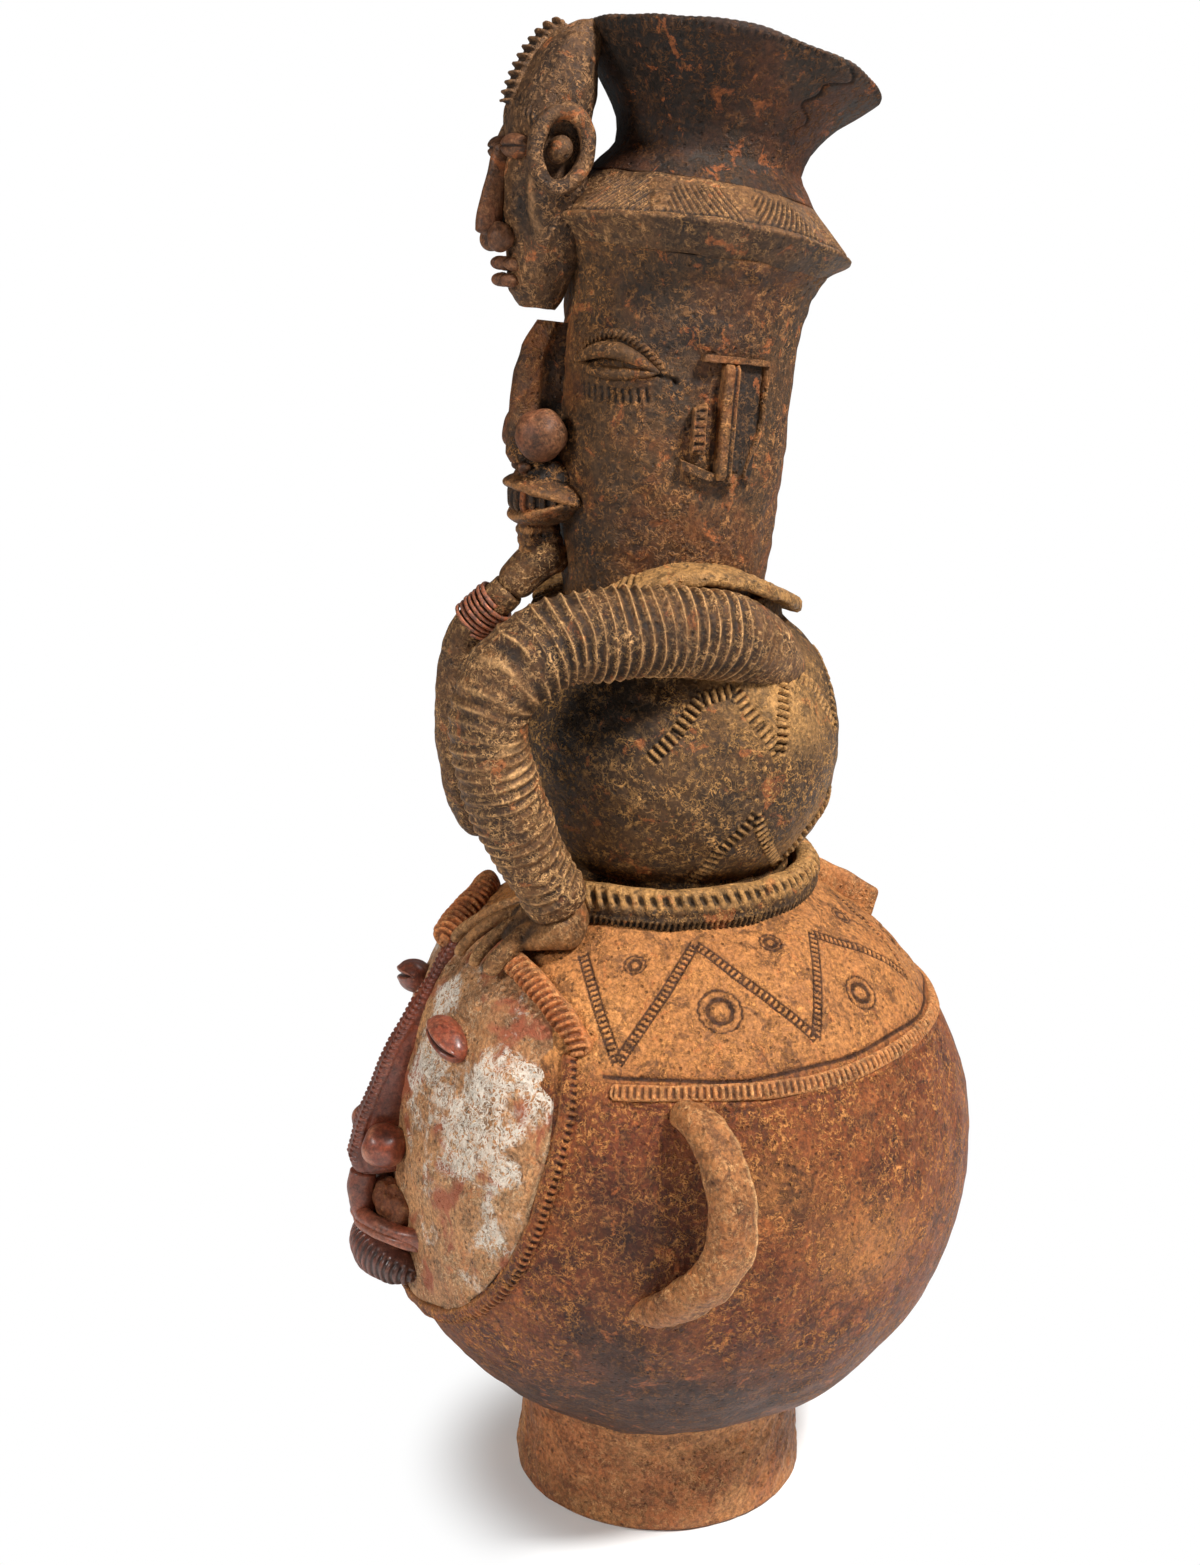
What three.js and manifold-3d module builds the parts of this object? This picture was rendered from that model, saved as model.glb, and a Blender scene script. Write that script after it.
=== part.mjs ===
// Anthropomorphic vessel of fired clay: a hollow globe that carries a face, a hollow figure
// seated on it whose flared hat is the open mouth, and a small head that looks out over the
// hat's brim. Millimetres, +Z up. The faces look toward -Y and the figure's left side is +X.
// Every piece was formed by itself and luted on, so each is a solid of its own.
import * as THREE from 'three';
import { mergeVertices } from 'three/addons/utils/BufferGeometryUtils.js';
import Module from 'manifold-3d';

const wasm = await Module();
wasm.setup();

// Seam left between luted pieces, and how far a piece is sunk before its seat is cut away
const seam = 0.3;
const bury = 6;

// Foot ring
const footRadius = 85;
const footWaistRadius = 81;
const footHeight = 62;
const footWall = 13;

// Globe, the vessel's belly
const globeRadius = 173;
const globeHalfHeight = 170;
const globeShift = 3.6;
const globeWall = 10;

// Waist, where the torso stands on the globe
const waistRadius = 64;
const waistPassageRadius = 50;
const waistNeckHeight = 4;
const waistRingRadius = 85.5;
const waistRingHeight = 24;
const waistRingShift = 2;
const waistNotches = 24;
const waistNotchDepth = 2.4;

// Torso
const torsoRadius = 90.5;
const torsoShift = 6.7;
const torsoWall = 9;
const neckRadius = 58;
const neckPassageRadius = 40;
const neckHeight = 13.5;

// Collar, draped over the shoulders
const collarRadius = 72;
const collarThickness = 8;
const collarRise = 25;

// Head and hat, measured up the leaning axis from the head's base
const headWall = 9;
const headBaseRadius = 54.8;
const headMiddleRadius = 61.5;
const headMiddleHeight = 85;
const headTopRadius = 62.5;
const headTopHeight = 151;
const brimUndersideRadius = 72;
const brimUndersideHeight = 174;
const brimRadius = 83;
const brimFlare = 13;
const brimEdgeThickness = 4;
const brimTopRadius = 60;
const brimSlope = 22;
const hatNeckRadius = 49.3;
const hatNeckRise = 14;
const rimRadius = 80.5;
const funnelHeight = 54;
const rimThickness = 8;
const leanRadius = 1100;
const leanStartHeight = 8;
const hatSaddle = 4;

// Face of the globe: an egg-shaped panel on the flattened front
const faceHalfWidth = 136;
const faceHalfHeight = 105;
const faceRise = 33;
const facePower = 2.2;
const faceDepth = 16;
const facePanelThickness = 7;
const facePanelProud = 2.5;
const borderHalfWidth = 4.5;
const borderHalfHeight = 4;
const borderNotches = 22;
const browHalfWidth = 9;
const browNotches = 8;
const browLowAngle = 38;
const browTopAngle = 62;
const farBrowTopAngle = 96;
const browLowHeight = 6;
const browTopHeight = 17;
const noseHalfWidth = 8;
const noseTopRise = 146;
const noseBottomRise = -5;
const noseTopProud = 40;
const noseTipProud = 10;
const noseNotches = 12;
const nostrilRadius = 12;
const eyeSpacing = 48;
const eyeRise = 88;
const eyeHalfLength = 17;
const eyeHalfHeight = 10.5;
const lipHalfWidth = 40;
const upperLipProud = 28;
const lowerLipProud = 27;
const upperLipCornerRise = -37;
const upperLipMiddleRise = -20;
const lowerLipCornerRise = -50;
const lowerLipMiddleRise = -42;
const upperLipHalfHeight = 8;
const lowerLipHalfHeight = 14;

// Shoulder band, ear handles and back crest of the globe
const bandElevation = 30;
const bandStartAzimuth = 63;
const bandHalfWidth = 5;
const bandHalfHeight = 3.5;
const bandNotches = 24;
const handleTopElevation = 24.5;
const handleBottomElevation = -11;
const handleTopAzimuth = 78;
const handleBottomAzimuth = 69;
const handleBow = 33;
const handleSweep = 9.5;
const handleHalfWidth = 12;
const handleHalfThickness = 9;
const crestWidth = 13;
const crestTipElevation = 46.4;
const crestTipProud = 15;
const crestFootElevation = 44.2;

// Left arm, ribbed, bent at a round elbow that is held forward at the shoulder's height
const leftShoulderSide = 74;
const leftElbowSide = 83;
const leftElbowFront = 120;
const leftElbowLift = 2;
const leftElbowBend = 35;
const leftForearmBow = 15;
const leftWristAzimuth = 39;
const leftWristElevation = 62;
const leftWristProud = 14;
const leftArmRibs = 38;
const leftArmRibDepth = 1.8;
const leftArmRootDepth = 50;
const shoulderRadius = 23.5;
const upperArmRadius = 22;
const forearmRadius = 19;
const leftWristRadius = 16.5;

// Left hand, resting on the forehead of the globe's face
const fingerRadius = 6;
const fingerTipRadius = 4.6;
const fingerCount = 4;
const palmHalfWidth = 24;
const palmHalfThickness = 10;

// Right arm, hand and wire bracelet: down to an elbow on the globe and back up to the chin
const rightShoulderSide = 77;
const rightShoulderDrop = 12;
const rightUpperArmBow = 28;
const rightElbowAzimuth = -39;
const rightElbowElevation = 58.5;
const rightElbowProud = 15;
const rightForearmBow = 14;
const wristSide = 20;
const wristFront = 105.5;
const wristDrop = 12;
const chinSide = 5.3;
const chinFront = 84.9;
const chinRise = 10;
const gripFront = 75;
const gripRise = 26;
const gripDepth = 8;
const rightArmRadius = 16;
const rightForearmRadius = 14;
const rightWristRadius = 9.5;
const braceletTurns = 7;
const braceletPitch = 3.1;
const braceletSteps = 14;
const braceletWire = 2.2;
const braceletInset = 4;
const rightHandRadius = 11.5;
const beardRadius = 8.5;

// Face of the head
const headNoseHalfWidth = 6;
const headNoseTopHeight = 134;
const headNoseBottomHeight = 68;
const headNoseTopProud = 12;
const headNoseTipProud = 28;
const headNostrilRadius = 13.5;
const headEyeHeight = 119;
const headEyeAzimuth = 41;
const headEyeHalfSpan = 23;
const headLidRadius = 4.6;
const headBrowRadius = 2.6;
const headLipHalfSpan = 22;
const headUpperLipHeight = 60;
const headLowerLipHeight = 43;
const headLipRadius = 8;
const headLipProud = 17;
const headEarFrontAzimuth = 83;
const headEarBackAzimuth = 118;
const headEarBarAzimuth = 99;
const headEarBottomHeight = 65;
const headEarTopHeight = 127;
const headEarThickness = 6;

// Small head over the brim, measured from the head's axis
const maskBottomHeight = 140;
const maskBelowRim = 1.5;
const maskHalfWidth = 35;
const maskFront = 107;
const maskBack = 66;
const maskEarRadius = 13.5;
const maskEarTube = 4.2;
const maskEarStretch = 1.3;
const maskEarHeight = 214;
const maskEarPlugRadius = 6.5;
const maskNoseHalfWidth = 3.5;
const maskNostrilRadius = 7;
const maskEyeHeight = 214.5;
const maskEyeSpacing = 17;
const maskCrestHalfWidth = 7;
const maskCrestHalfHeight = 5;
const maskCrestNotches = 12;

// Facets round the large bodies
const globeFacets = 32;
const torsoFacets = 24;
const headFacets = 24;

const wholeTurn = Math.PI * 2;
const axisX = new THREE.Vector3(1, 0, 0);
const axisY = new THREE.Vector3(0, 1, 0);
const axisZ = new THREE.Vector3(0, 0, 1);

function at(x, y, z) {
  return new THREE.Vector3(x, y, z);
}

function radians(degrees) {
  return THREE.MathUtils.degToRad(degrees);
}

function mix(from, to, share) {
  return from + (to - from) * share;
}

function smooth(from, to, value) {
  return THREE.MathUtils.smoothstep(value, from, to);
}

// Closed solid from points and triangles, turned to face outwards
function solidOf(points, faces) {
  let volume = 0;
  const kept = faces.filter(([a, b, c]) => a !== b && b !== c && c !== a);
  for (const [a, b, c] of kept) {
    volume += points[a].dot(points[b].clone().cross(points[c]));
  }
  const turned = volume < 0 ? kept.map(([a, b, c]) => [a, c, b]) : kept;
  const vertProperties = new Float32Array(points.flatMap((point) => point.toArray()));
  const triVerts = new Uint32Array(turned.flat());
  return new wasm.Manifold(new wasm.Mesh({ numProp: 3, vertProperties, triVerts }));
}

// Closed solid from a closed geometry
function solidFrom(geometry) {
  const bare = geometry.clone();
  bare.deleteAttribute('normal');
  bare.deleteAttribute('uv');
  const merged = mergeVertices(bare, 1e-3);
  const place = merged.attributes.position;
  const points = Array.from({ length: place.count }, (_, k) => at().fromBufferAttribute(place, k));
  const order = Array.from(merged.index.array);
  const faces = [];
  for (let k = 0; k < order.length; k += 3) {
    faces.push(order.slice(k, k + 3));
  }
  return solidOf(points, faces);
}

// The points and triangles of a solid
function partsOf(solid) {
  const mesh = solid.getMesh();
  const points = [];
  const faces = [];
  for (let k = 0; k < mesh.vertProperties.length; k += mesh.numProp) {
    points.push(at(...mesh.vertProperties.slice(k, k + 3)));
  }
  for (let k = 0; k < mesh.triVerts.length; k += 3) {
    faces.push(Array.from(mesh.triVerts.slice(k, k + 3)));
  }
  return { points, faces };
}

// The same solid with each point moved by a function
function reshaped(solid, move) {
  const { points, faces } = partsOf(solid);
  return solidOf(points.map((point) => move(point.clone())), faces);
}

// The solid's main body, without the crumbs that a cut can leave
function mainBody(solid) {
  const pieces = solid.decompose();
  return pieces.reduce((best, piece) => (piece.volume() > best.volume() ? piece : best));
}

function cut(solid, ...cutters) {
  return mainBody(cutters.reduce((rest, cutter) => rest.subtract(cutter), solid));
}

function joined(...solids) {
  return solids.reduce((sum, solid) => sum.add(solid));
}

// Solid through a row of rings of equal count, closed on itself or with a fan over each end
function loft(rings, endless = false) {
  const count = rings[0].length;
  const points = rings.flat();
  const faces = [];
  const bands = endless ? rings.length : rings.length - 1;
  for (let row = 0; row < bands; row += 1) {
    const nextRow = (row + 1) % rings.length;
    for (let k = 0; k < count; k += 1) {
      const next = (k + 1) % count;
      const corner = row * count + k;
      const across = nextRow * count + next;
      faces.push([corner, row * count + next, across]);
      faces.push([corner, across, nextRow * count + k]);
    }
  }
  if (!endless) {
    for (const row of [0, rings.length - 1]) {
      const middle = rings[row].reduce((sum, point) => sum.add(point), at()).divideScalar(count);
      points.push(middle);
      for (let k = 0; k < count; k += 1) {
        const pair = [row * count + k, row * count + ((k + 1) % count)];
        faces.push(row === 0 ? [points.length - 1, pair[1], pair[0]] : [points.length - 1, ...pair]);
      }
    }
  }
  return solidOf(points, faces);
}

// Point on a rounded outline: power 2 is an ellipse, more is squarer
function outlinePoint(angle, halfSide, halfOut, power = 2) {
  const side = Math.cos(angle);
  const out = Math.sin(angle);
  return [
    halfSide * Math.sign(side) * Math.abs(side) ** (2 / power),
    halfOut * Math.sign(out) * Math.abs(out) ** (2 / power),
  ];
}

// Solid swept along a path. facing gives the outward direction of the section, and section
// its half width, half height and squareness at a share of the path.
function sweep({ path, steps, sides, facing, section, endless = false }) {
  const rings = [];
  const rows = endless ? steps : steps + 1;
  for (let row = 0; row < rows; row += 1) {
    const share = row / steps;
    const centre = path.getPointAt(share);
    const along = path.getTangentAt(share);
    const out = facing(centre).projectOnPlane(along).normalize();
    const aside = along.clone().cross(out);
    const [halfSide, halfOut, power] = section(share, row);
    const ring = [];
    for (let k = 0; k < sides; k += 1) {
      const [side, rise] = outlinePoint(((k + 0.5) / sides) * wholeTurn, halfSide, halfOut, power);
      ring.push(centre.clone().addScaledVector(aside, side).addScaledVector(out, rise));
    }
    rings.push(ring);
  }
  return loft(rings, endless);
}

function curveThrough(points, endless = false) {
  return new THREE.CatmullRomCurve3(points, endless, 'centripetal');
}

// Solid of revolution about an upright axis at a given y, from a profile of radius and height
function turned(profile, facets, shift = 0) {
  const outline = profile.map(([radius, height]) => new THREE.Vector2(radius, height));
  const shape = new THREE.LatheGeometry(outline, facets).rotateX(Math.PI / 2);
  return solidFrom(shape.translate(0, shift, 0));
}

// Rounded lump with its own half sizes along X, Y and Z
function lump(centre, halfX, halfY, halfZ, facets = 10) {
  const ball = new THREE.SphereGeometry(1, facets, Math.round(facets * 0.6));
  return solidFrom(ball.scale(halfX, halfY, halfZ).translate(...centre));
}

function mirrored(solid) {
  return reshaped(solid, (point) => point.setX(-point.x));
}

// A piece and its twin across the middle line, each cut by what it meets there
function pairCut(solid, ...cutters) {
  return [cut(solid, ...cutters), cut(mirrored(solid), ...cutters)];
}

// Heights of the globe and of what stands on it
const globeCentreHeight =
  footHeight + globeHalfHeight * Math.sqrt(1 - (footWaistRadius / globeRadius) ** 2);
const waistSeatHeight =
  globeCentreHeight + globeHalfHeight * Math.sqrt(1 - (waistRadius / globeRadius) ** 2);
const waistHeight = waistSeatHeight + waistNeckHeight;
const torsoCentreHeight =
  waistHeight + 2 * waistNeckHeight + Math.sqrt(torsoRadius ** 2 - waistRadius ** 2);
const shoulderHeight = torsoCentreHeight + Math.sqrt(torsoRadius ** 2 - neckRadius ** 2);
const headBaseHeight = shoulderHeight + neckHeight;
const brimEdgeHeight = brimUndersideHeight + brimFlare;
const brimTopHeight = brimEdgeHeight + brimSlope;
const hatNeckHeight = brimTopHeight + hatNeckRise;
const rimHeight = hatNeckHeight + funnelHeight;
const globeCentre = at(0, globeShift, globeCentreHeight);
const torsoCentre = at(0, torsoShift, torsoCentreHeight);

// Point on the globe by azimuth from the face toward the left side, and by elevation
function onGlobe(azimuth, elevation, out = 0) {
  const turn = radians(azimuth);
  const climb = radians(elevation);
  const reach = (globeRadius + out) * Math.cos(climb);
  const rise = (globeHalfHeight + out) * Math.sin(climb);
  return at(reach * Math.sin(turn), -reach * Math.cos(turn), rise).add(globeCentre);
}

function awayFromGlobe(point) {
  return point.clone().sub(globeCentre);
}

// Arc of the ellipse that bounds the globe's wall, from one height to another
function globeArc(inset, fromHeight, toHeight, steps) {
  const radius = globeRadius - inset;
  const half = globeHalfHeight - inset;
  const from = Math.asin(Math.max(-1, (fromHeight - globeCentreHeight) / half));
  const to = Math.asin((toHeight - globeCentreHeight) / half);
  const arc = [];
  for (let k = 0; k <= steps; k += 1) {
    const climb = mix(from, to, k / steps);
    const height = globeCentreHeight + half * Math.sin(climb);
    arc.push([Math.max(0, radius * Math.cos(climb)), height]);
  }
  arc[0][0] = fromHeight <= globeCentreHeight - half ? 0 : arc[0][0];
  return arc;
}

function globeFront(x, z) {
  const level = (z - globeCentreHeight) / globeHalfHeight;
  return globeShift - Math.sqrt(globeRadius ** 2 * (1 - level ** 2) - x ** 2);
}

// How far inside the outline of the face a point lies: 1 in the middle, 0 on the outline
function faceInside(x, z) {
  const across = Math.abs(x) / faceHalfWidth;
  const up = Math.abs(z - globeCentreHeight - faceRise) / faceHalfHeight;
  return Math.max(0, 1 - across ** facePower - up ** facePower);
}

// The flattening of the front, deepest under the nose and fading toward the brow
function faceDent(x, z) {
  const share = 1 - (z - globeCentreHeight) / (faceHalfHeight - 10);
  return faceDepth * faceInside(x, z) ** 0.7 * THREE.MathUtils.clamp(share, -0.3, 1.15);
}

function faceSeat(x, z) {
  return faceDent(x, z) + (facePanelThickness - facePanelProud) * faceInside(x, z) ** 0.4;
}

function pressedFront(point) {
  if (point.y < globeShift) {
    point.y += faceSeat(point.x, point.z);
  }
  return point;
}

// Point on the face panel, by the distance from the middle line and the height above the
// globe's centre
function onFace(x, rise, out = 0) {
  const z = globeCentreHeight + rise;
  const skin = at(x, globeFront(x, z) + faceDent(x, z) - facePanelProud, z);
  return skin.addScaledVector(awayFromGlobe(skin).normalize(), out);
}

function faceOutline(degrees, scale) {
  const [x, rise] = outlinePoint(radians(degrees), faceHalfWidth, faceHalfHeight, facePower);
  return { x: x * scale, rise: faceRise + rise * scale };
}

// Globe without its hollow, grown by a seam, to cut the seats of what lies on it
function globeMass(grow) {
  const arc = globeArc(-grow, globeCentreHeight - globeHalfHeight - grow, waistSeatHeight, 11);
  const top = waistHeight + grow;
  const profile = [...arc, [waistRadius + grow, top], [0, top]];
  return reshaped(turned(profile, globeFacets, globeShift), pressedFront);
}

function bellyPot() {
  const bottom = globeCentreHeight - globeHalfHeight;
  const outside = globeArc(0, bottom, waistSeatHeight, 11);
  const innerReach = 1 - (waistPassageRadius / (globeRadius - globeWall)) ** 2;
  const innerTop = globeCentreHeight + (globeHalfHeight - globeWall) * Math.sqrt(innerReach);
  const inside = globeArc(globeWall, bottom + globeWall, innerTop, 8).reverse();
  const lip = [[waistRadius, waistHeight - seam], [waistPassageRadius, waistHeight - seam]];
  const shell = turned([...outside, ...lip, ...inside], globeFacets, globeShift);
  return reshaped(shell, pressedFront);
}

function footRing() {
  const flare = footRadius - footWaistRadius;
  const inner = footRadius - footWall;
  const profile = [
    [inner, 0],
    [footRadius - 1.5, 0],
    [footRadius, footHeight * 0.08],
    [footWaistRadius + flare * 0.3, footHeight * 0.4],
    [footWaistRadius, footHeight * 0.72],
    [footWaistRadius + flare * 0.6, footHeight + bury],
    [inner - flare, footHeight + bury],
    [inner - flare, footHeight * 0.4],
    [inner, 0],
  ];
  return cut(turned(profile, torsoFacets), globeMass(seam));
}

// Torso without its hollow, grown by a seam
function torsoOutline(grow, bottom, top) {
  const radius = torsoRadius + grow;
  const from = Math.asin((waistHeight + 2 * waistNeckHeight - torsoCentreHeight) / torsoRadius);
  const to = Math.acos(neckRadius / torsoRadius);
  const arc = [[waistRadius + grow, bottom]];
  for (let k = 0; k <= 8; k += 1) {
    const climb = mix(from, to, k / 8);
    arc.push([radius * Math.cos(climb), torsoCentreHeight + radius * Math.sin(climb)]);
  }
  arc.push([neckRadius - 2 + grow, shoulderHeight + neckHeight * 0.5]);
  arc.push([neckRadius - 2 + grow, top]);
  return arc;
}

function torsoMass(grow) {
  const bottom = waistHeight - grow;
  const top = headBaseHeight + grow;
  const profile = [[0, bottom], ...torsoOutline(grow, bottom, top), [0, top]];
  return turned(profile, torsoFacets, torsoShift);
}

function torsoPot() {
  const inner = torsoRadius - torsoWall;
  const from = Math.acos(neckPassageRadius / inner);
  const to = -Math.acos(waistPassageRadius / inner);
  const inside = [[neckPassageRadius, headBaseHeight - seam]];
  for (let k = 0; k <= 6; k += 1) {
    const climb = mix(from, to, k / 6);
    inside.push([inner * Math.cos(climb), torsoCentreHeight + inner * Math.sin(climb)]);
  }
  inside.push([waistPassageRadius, waistHeight]);
  const outside = torsoOutline(0, waistHeight, headBaseHeight - seam);
  return turned([...outside, ...inside, outside[0]], torsoFacets, torsoShift);
}

// Thick ring over the seam of the waist, with notches all round
function waistRingMass(grow) {
  const middle = waistHeight + waistNeckHeight * 2 - waistRingHeight / 2;
  const width = waistRingRadius - waistRadius + bury;
  const circle = [];
  for (let k = 0; k < 24; k += 1) {
    const turn = (k / 24) * wholeTurn;
    const reach = waistRingRadius - width / 2;
    circle.push(at(reach * Math.sin(turn), waistRingShift - reach * Math.cos(turn), middle));
  }
  return sweep({
    path: curveThrough(circle, true),
    steps: waistNotches * 2,
    sides: 5,
    endless: true,
    facing: (point) => at(point.x, point.y - waistRingShift, 0),
    section: (share, row) => {
      const notch = row % 2 ? waistNotchDepth : 0;
      return [waistRingHeight / 2 - notch * 0.4 + grow, width / 2 - notch + grow, 3];
    },
  });
}

function waistRing() {
  return cut(waistRingMass(0), globeMass(seam), torsoMass(seam));
}

// Radius of the head and hat at a height above the head's base
const headOutline = [
  [headBaseRadius, 0],
  [headBaseRadius + 0.4, leanStartHeight],
  [mix(headBaseRadius, headMiddleRadius, 0.75), headMiddleHeight * 0.5],
  [headMiddleRadius, headMiddleHeight],
  [headTopRadius, headTopHeight],
  [mix(headTopRadius, brimUndersideRadius, 0.3), mix(headTopHeight, brimUndersideHeight, 0.55)],
  [brimUndersideRadius, brimUndersideHeight],
];
const brimOutline = [
  [brimUndersideRadius, brimUndersideHeight],
  [brimRadius, brimEdgeHeight - brimEdgeThickness / 2],
  [brimRadius, brimEdgeHeight + brimEdgeThickness / 2],
  [brimTopRadius, brimTopHeight],
];
const hatOutline = [
  [brimTopRadius, brimTopHeight],
  [mix(hatNeckRadius, brimTopRadius, 0.3), mix(brimTopHeight, hatNeckHeight, 0.55)],
  [hatNeckRadius, hatNeckHeight],
  [mix(hatNeckRadius, rimRadius, 0.09), mix(hatNeckHeight, rimHeight, 0.21)],
  [mix(hatNeckRadius, rimRadius, 0.3), mix(hatNeckHeight, rimHeight, 0.43)],
  [mix(hatNeckRadius, rimRadius, 0.64), mix(hatNeckHeight, rimHeight, 0.68)],
  [rimRadius, rimHeight - 4],
  [rimRadius - 1.5, rimHeight],
];
const headHollow = headWall + 1;

function radiusAt(height, outline = [...headOutline, ...brimOutline, ...hatOutline]) {
  const next = outline.findIndex(([, level]) => level > height);
  const [upper, top] = outline[next < 1 ? outline.length - 1 : next];
  const [lower, bottom] = outline[Math.max(0, next < 1 ? outline.length - 2 : next - 1)];
  return mix(lower, upper, THREE.MathUtils.clamp((height - bottom) / (top - bottom), 0, 1));
}

// The head leans back on an arc, and the hat sags a little in front and behind. A point given
// about an upright axis, by height above the head's base, takes its place on the leaning head.
function leaned(point) {
  const turn = Math.atan2(point.x, -point.y);
  const reach = Math.hypot(point.x, point.y);
  const outward = smooth(hatNeckRadius, brimRadius, reach);
  const lift = smooth(brimUndersideHeight + 1, brimEdgeHeight, point.z) * outward;
  const sag = hatSaddle * lift;
  const height = point.z - sag * Math.cos(2 * turn);
  const past = height - leanStartHeight;
  if (past <= 0) {
    return point.set(point.x, point.y, headBaseHeight + height);
  }
  const bend = past / leanRadius;
  const arm = leanRadius - point.y;
  return point.set(
    point.x,
    leanRadius - arm * Math.cos(bend),
    headBaseHeight + leanStartHeight + arm * Math.sin(bend),
  );
}

function onHead(azimuth, height, out = 0) {
  const turn = radians(azimuth);
  const reach = radiusAt(height) + out;
  return at(reach * Math.sin(turn), -reach * Math.cos(turn), height);
}

function awayFromHead(point) {
  return at(point.x, point.y, 0);
}

// Head and hat without their hollow, grown by a seam, about the upright axis
function headMass(grow) {
  const outline = [...headOutline, ...brimOutline.slice(1), ...hatOutline.slice(1)];
  const grown = outline.map(([radius, height]) => [radius + grow, height]);
  const top = rimHeight + grow;
  return turned([[0, -grow], ...grown, [rimRadius + grow, top], [0, top]], headFacets);
}

function hollowRadius(height) {
  const flare = smooth(brimTopHeight, rimHeight, height);
  const neck = hatNeckRadius - headHollow;
  const chamber = headMiddleRadius - headHollow;
  if (height < headMiddleHeight) {
    return mix(neckPassageRadius + 4, chamber, smooth(0, headMiddleHeight * 0.5, height));
  }
  if (height < brimTopHeight) {
    return mix(chamber, neck + 4, smooth(headTopHeight, brimTopHeight, height));
  }
  return Math.max(neck, mix(neck, rimRadius - rimThickness - 1, flare ** 1.3));
}

function shellBetween(outline, hollowHeights) {
  const bottom = outline[0][1] + seam / 2;
  const top = outline[outline.length - 1][1] - seam / 2;
  const outside = outline.map(([radius, height]) => [radius, Math.min(top, Math.max(bottom, height))]);
  const inside = [top, ...hollowHeights, bottom].map((height) => [hollowRadius(height), height]);
  return turned([...outside, ...inside, outside[0]], headFacets);
}

function headCylinder() {
  return shellBetween(headOutline, [headTopHeight, headMiddleHeight, headMiddleHeight * 0.3]);
}

function hatBrim() {
  return shellBetween(brimOutline, [brimEdgeHeight]);
}

function mouthFunnel() {
  const levels = [0.86, 0.68, 0.48, 0.3, 0.15].map((share) => mix(brimTopHeight, rimHeight, share));
  return shellBetween(hatOutline, levels);
}

function collarHeight(turn) {
  const lift = Math.sin(turn) ** 2 * (1 + 0.12 * Math.cos(turn));
  return shoulderHeight + neckHeight * 0.5 + collarRise * lift;
}

function collar() {
  const rings = [];
  for (let k = 0; k < headFacets; k += 1) {
    const turn = ((k + 0.5) / headFacets) * wholeTurn;
    const height = collarHeight(turn);
    const droop = 3;
    const half = collarThickness / 2;
    const inner = headBaseRadius - bury;
    const section = [
      [inner, height - half],
      [collarRadius - 3, height - half - droop],
      [collarRadius, height - droop],
      [collarRadius - 2, height + half - droop],
      [inner, height + half],
    ];
    rings.push(section.map(([reach, level]) => {
      return at(reach * Math.sin(turn), -reach * Math.cos(turn), level);
    }));
  }
  const plate = loft(rings, true);
  return cut(plate, torsoMass(seam), reshaped(headMass(seam), leaned), leftArmMass(seam));
}

// Left arm: out of the torso, forward to the elbow, and down to the hand on the globe. The elbow
// is the rounded corner between the upper arm and the forearm.
function leftArmPath() {
  const root = at(torsoRadius - leftArmRootDepth, torsoShift, shoulderHeight - shoulderRadius);
  const shoulder = at(leftShoulderSide, 0, shoulderHeight);
  const corner = at(leftElbowSide, -leftElbowFront, shoulderHeight + leftElbowLift);
  const wrist = onGlobe(leftWristAzimuth, leftWristElevation, leftWristProud);
  const before = corner.clone().add(shoulder.clone().sub(corner).setLength(leftElbowBend));
  const after = corner.clone().add(wrist.clone().sub(corner).setLength(leftElbowBend));
  const elbow = before.clone().add(after).multiplyScalar(0.5).lerp(corner, 0.42);
  const forearm = after.clone().lerp(wrist, 0.5).add(at(leftForearmBow / 3, -leftForearmBow, 0));
  const upperArm = shoulder.clone().lerp(before, 0.5).add(at(4, 0, 2));
  return curveThrough([root, shoulder, upperArm, before, elbow, after, forearm, wrist]);
}

function leftArmRadius(share) {
  const upper = mix(shoulderRadius, upperArmRadius, smooth(0, 0.25, share));
  const lower = mix(upper, forearmRadius, smooth(0.45, 0.65, share));
  return mix(lower, leftWristRadius, smooth(0.75, 1, share));
}

function leftArmMass(grow) {
  return sweep({
    path: leftArmPath(),
    steps: leftArmRibs * 2,
    sides: 8,
    facing: () => axisX.clone(),
    section: (share, row) => {
      const groove = row % 2 ? leftArmRibDepth : 0;
      const radius = leftArmRadius(share) - groove + grow;
      return [radius, radius, 2];
    },
  });
}

function leftArm() {
  const head = reshaped(headMass(seam), leaned);
  return cut(leftArmMass(0), torsoMass(seam), globeMass(seam), waistRingMass(seam), head);
}

// One finger over the globe, between a knuckle and a tip given by azimuth and elevation
function fingerOn([knuckleTurn, knuckleClimb], [tipTurn, tipClimb], radius, grow) {
  const middleTurn = mix(knuckleTurn, tipTurn, 0.5);
  const middleClimb = mix(knuckleClimb, tipClimb, 0.5);
  return sweep({
    path: curveThrough([
      onGlobe(knuckleTurn, knuckleClimb, radius + 2),
      onGlobe(middleTurn, middleClimb, radius + 4),
      onGlobe(tipTurn, tipClimb, radius),
      onGlobe(tipTurn, tipClimb - 2.2, 1),
    ]),
    steps: 5,
    sides: 6,
    facing: awayFromGlobe,
    section: (share) => {
      const size = mix(radius, fingerTipRadius, share) + grow;
      return [size, size * 1.1, 2];
    },
  });
}

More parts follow.
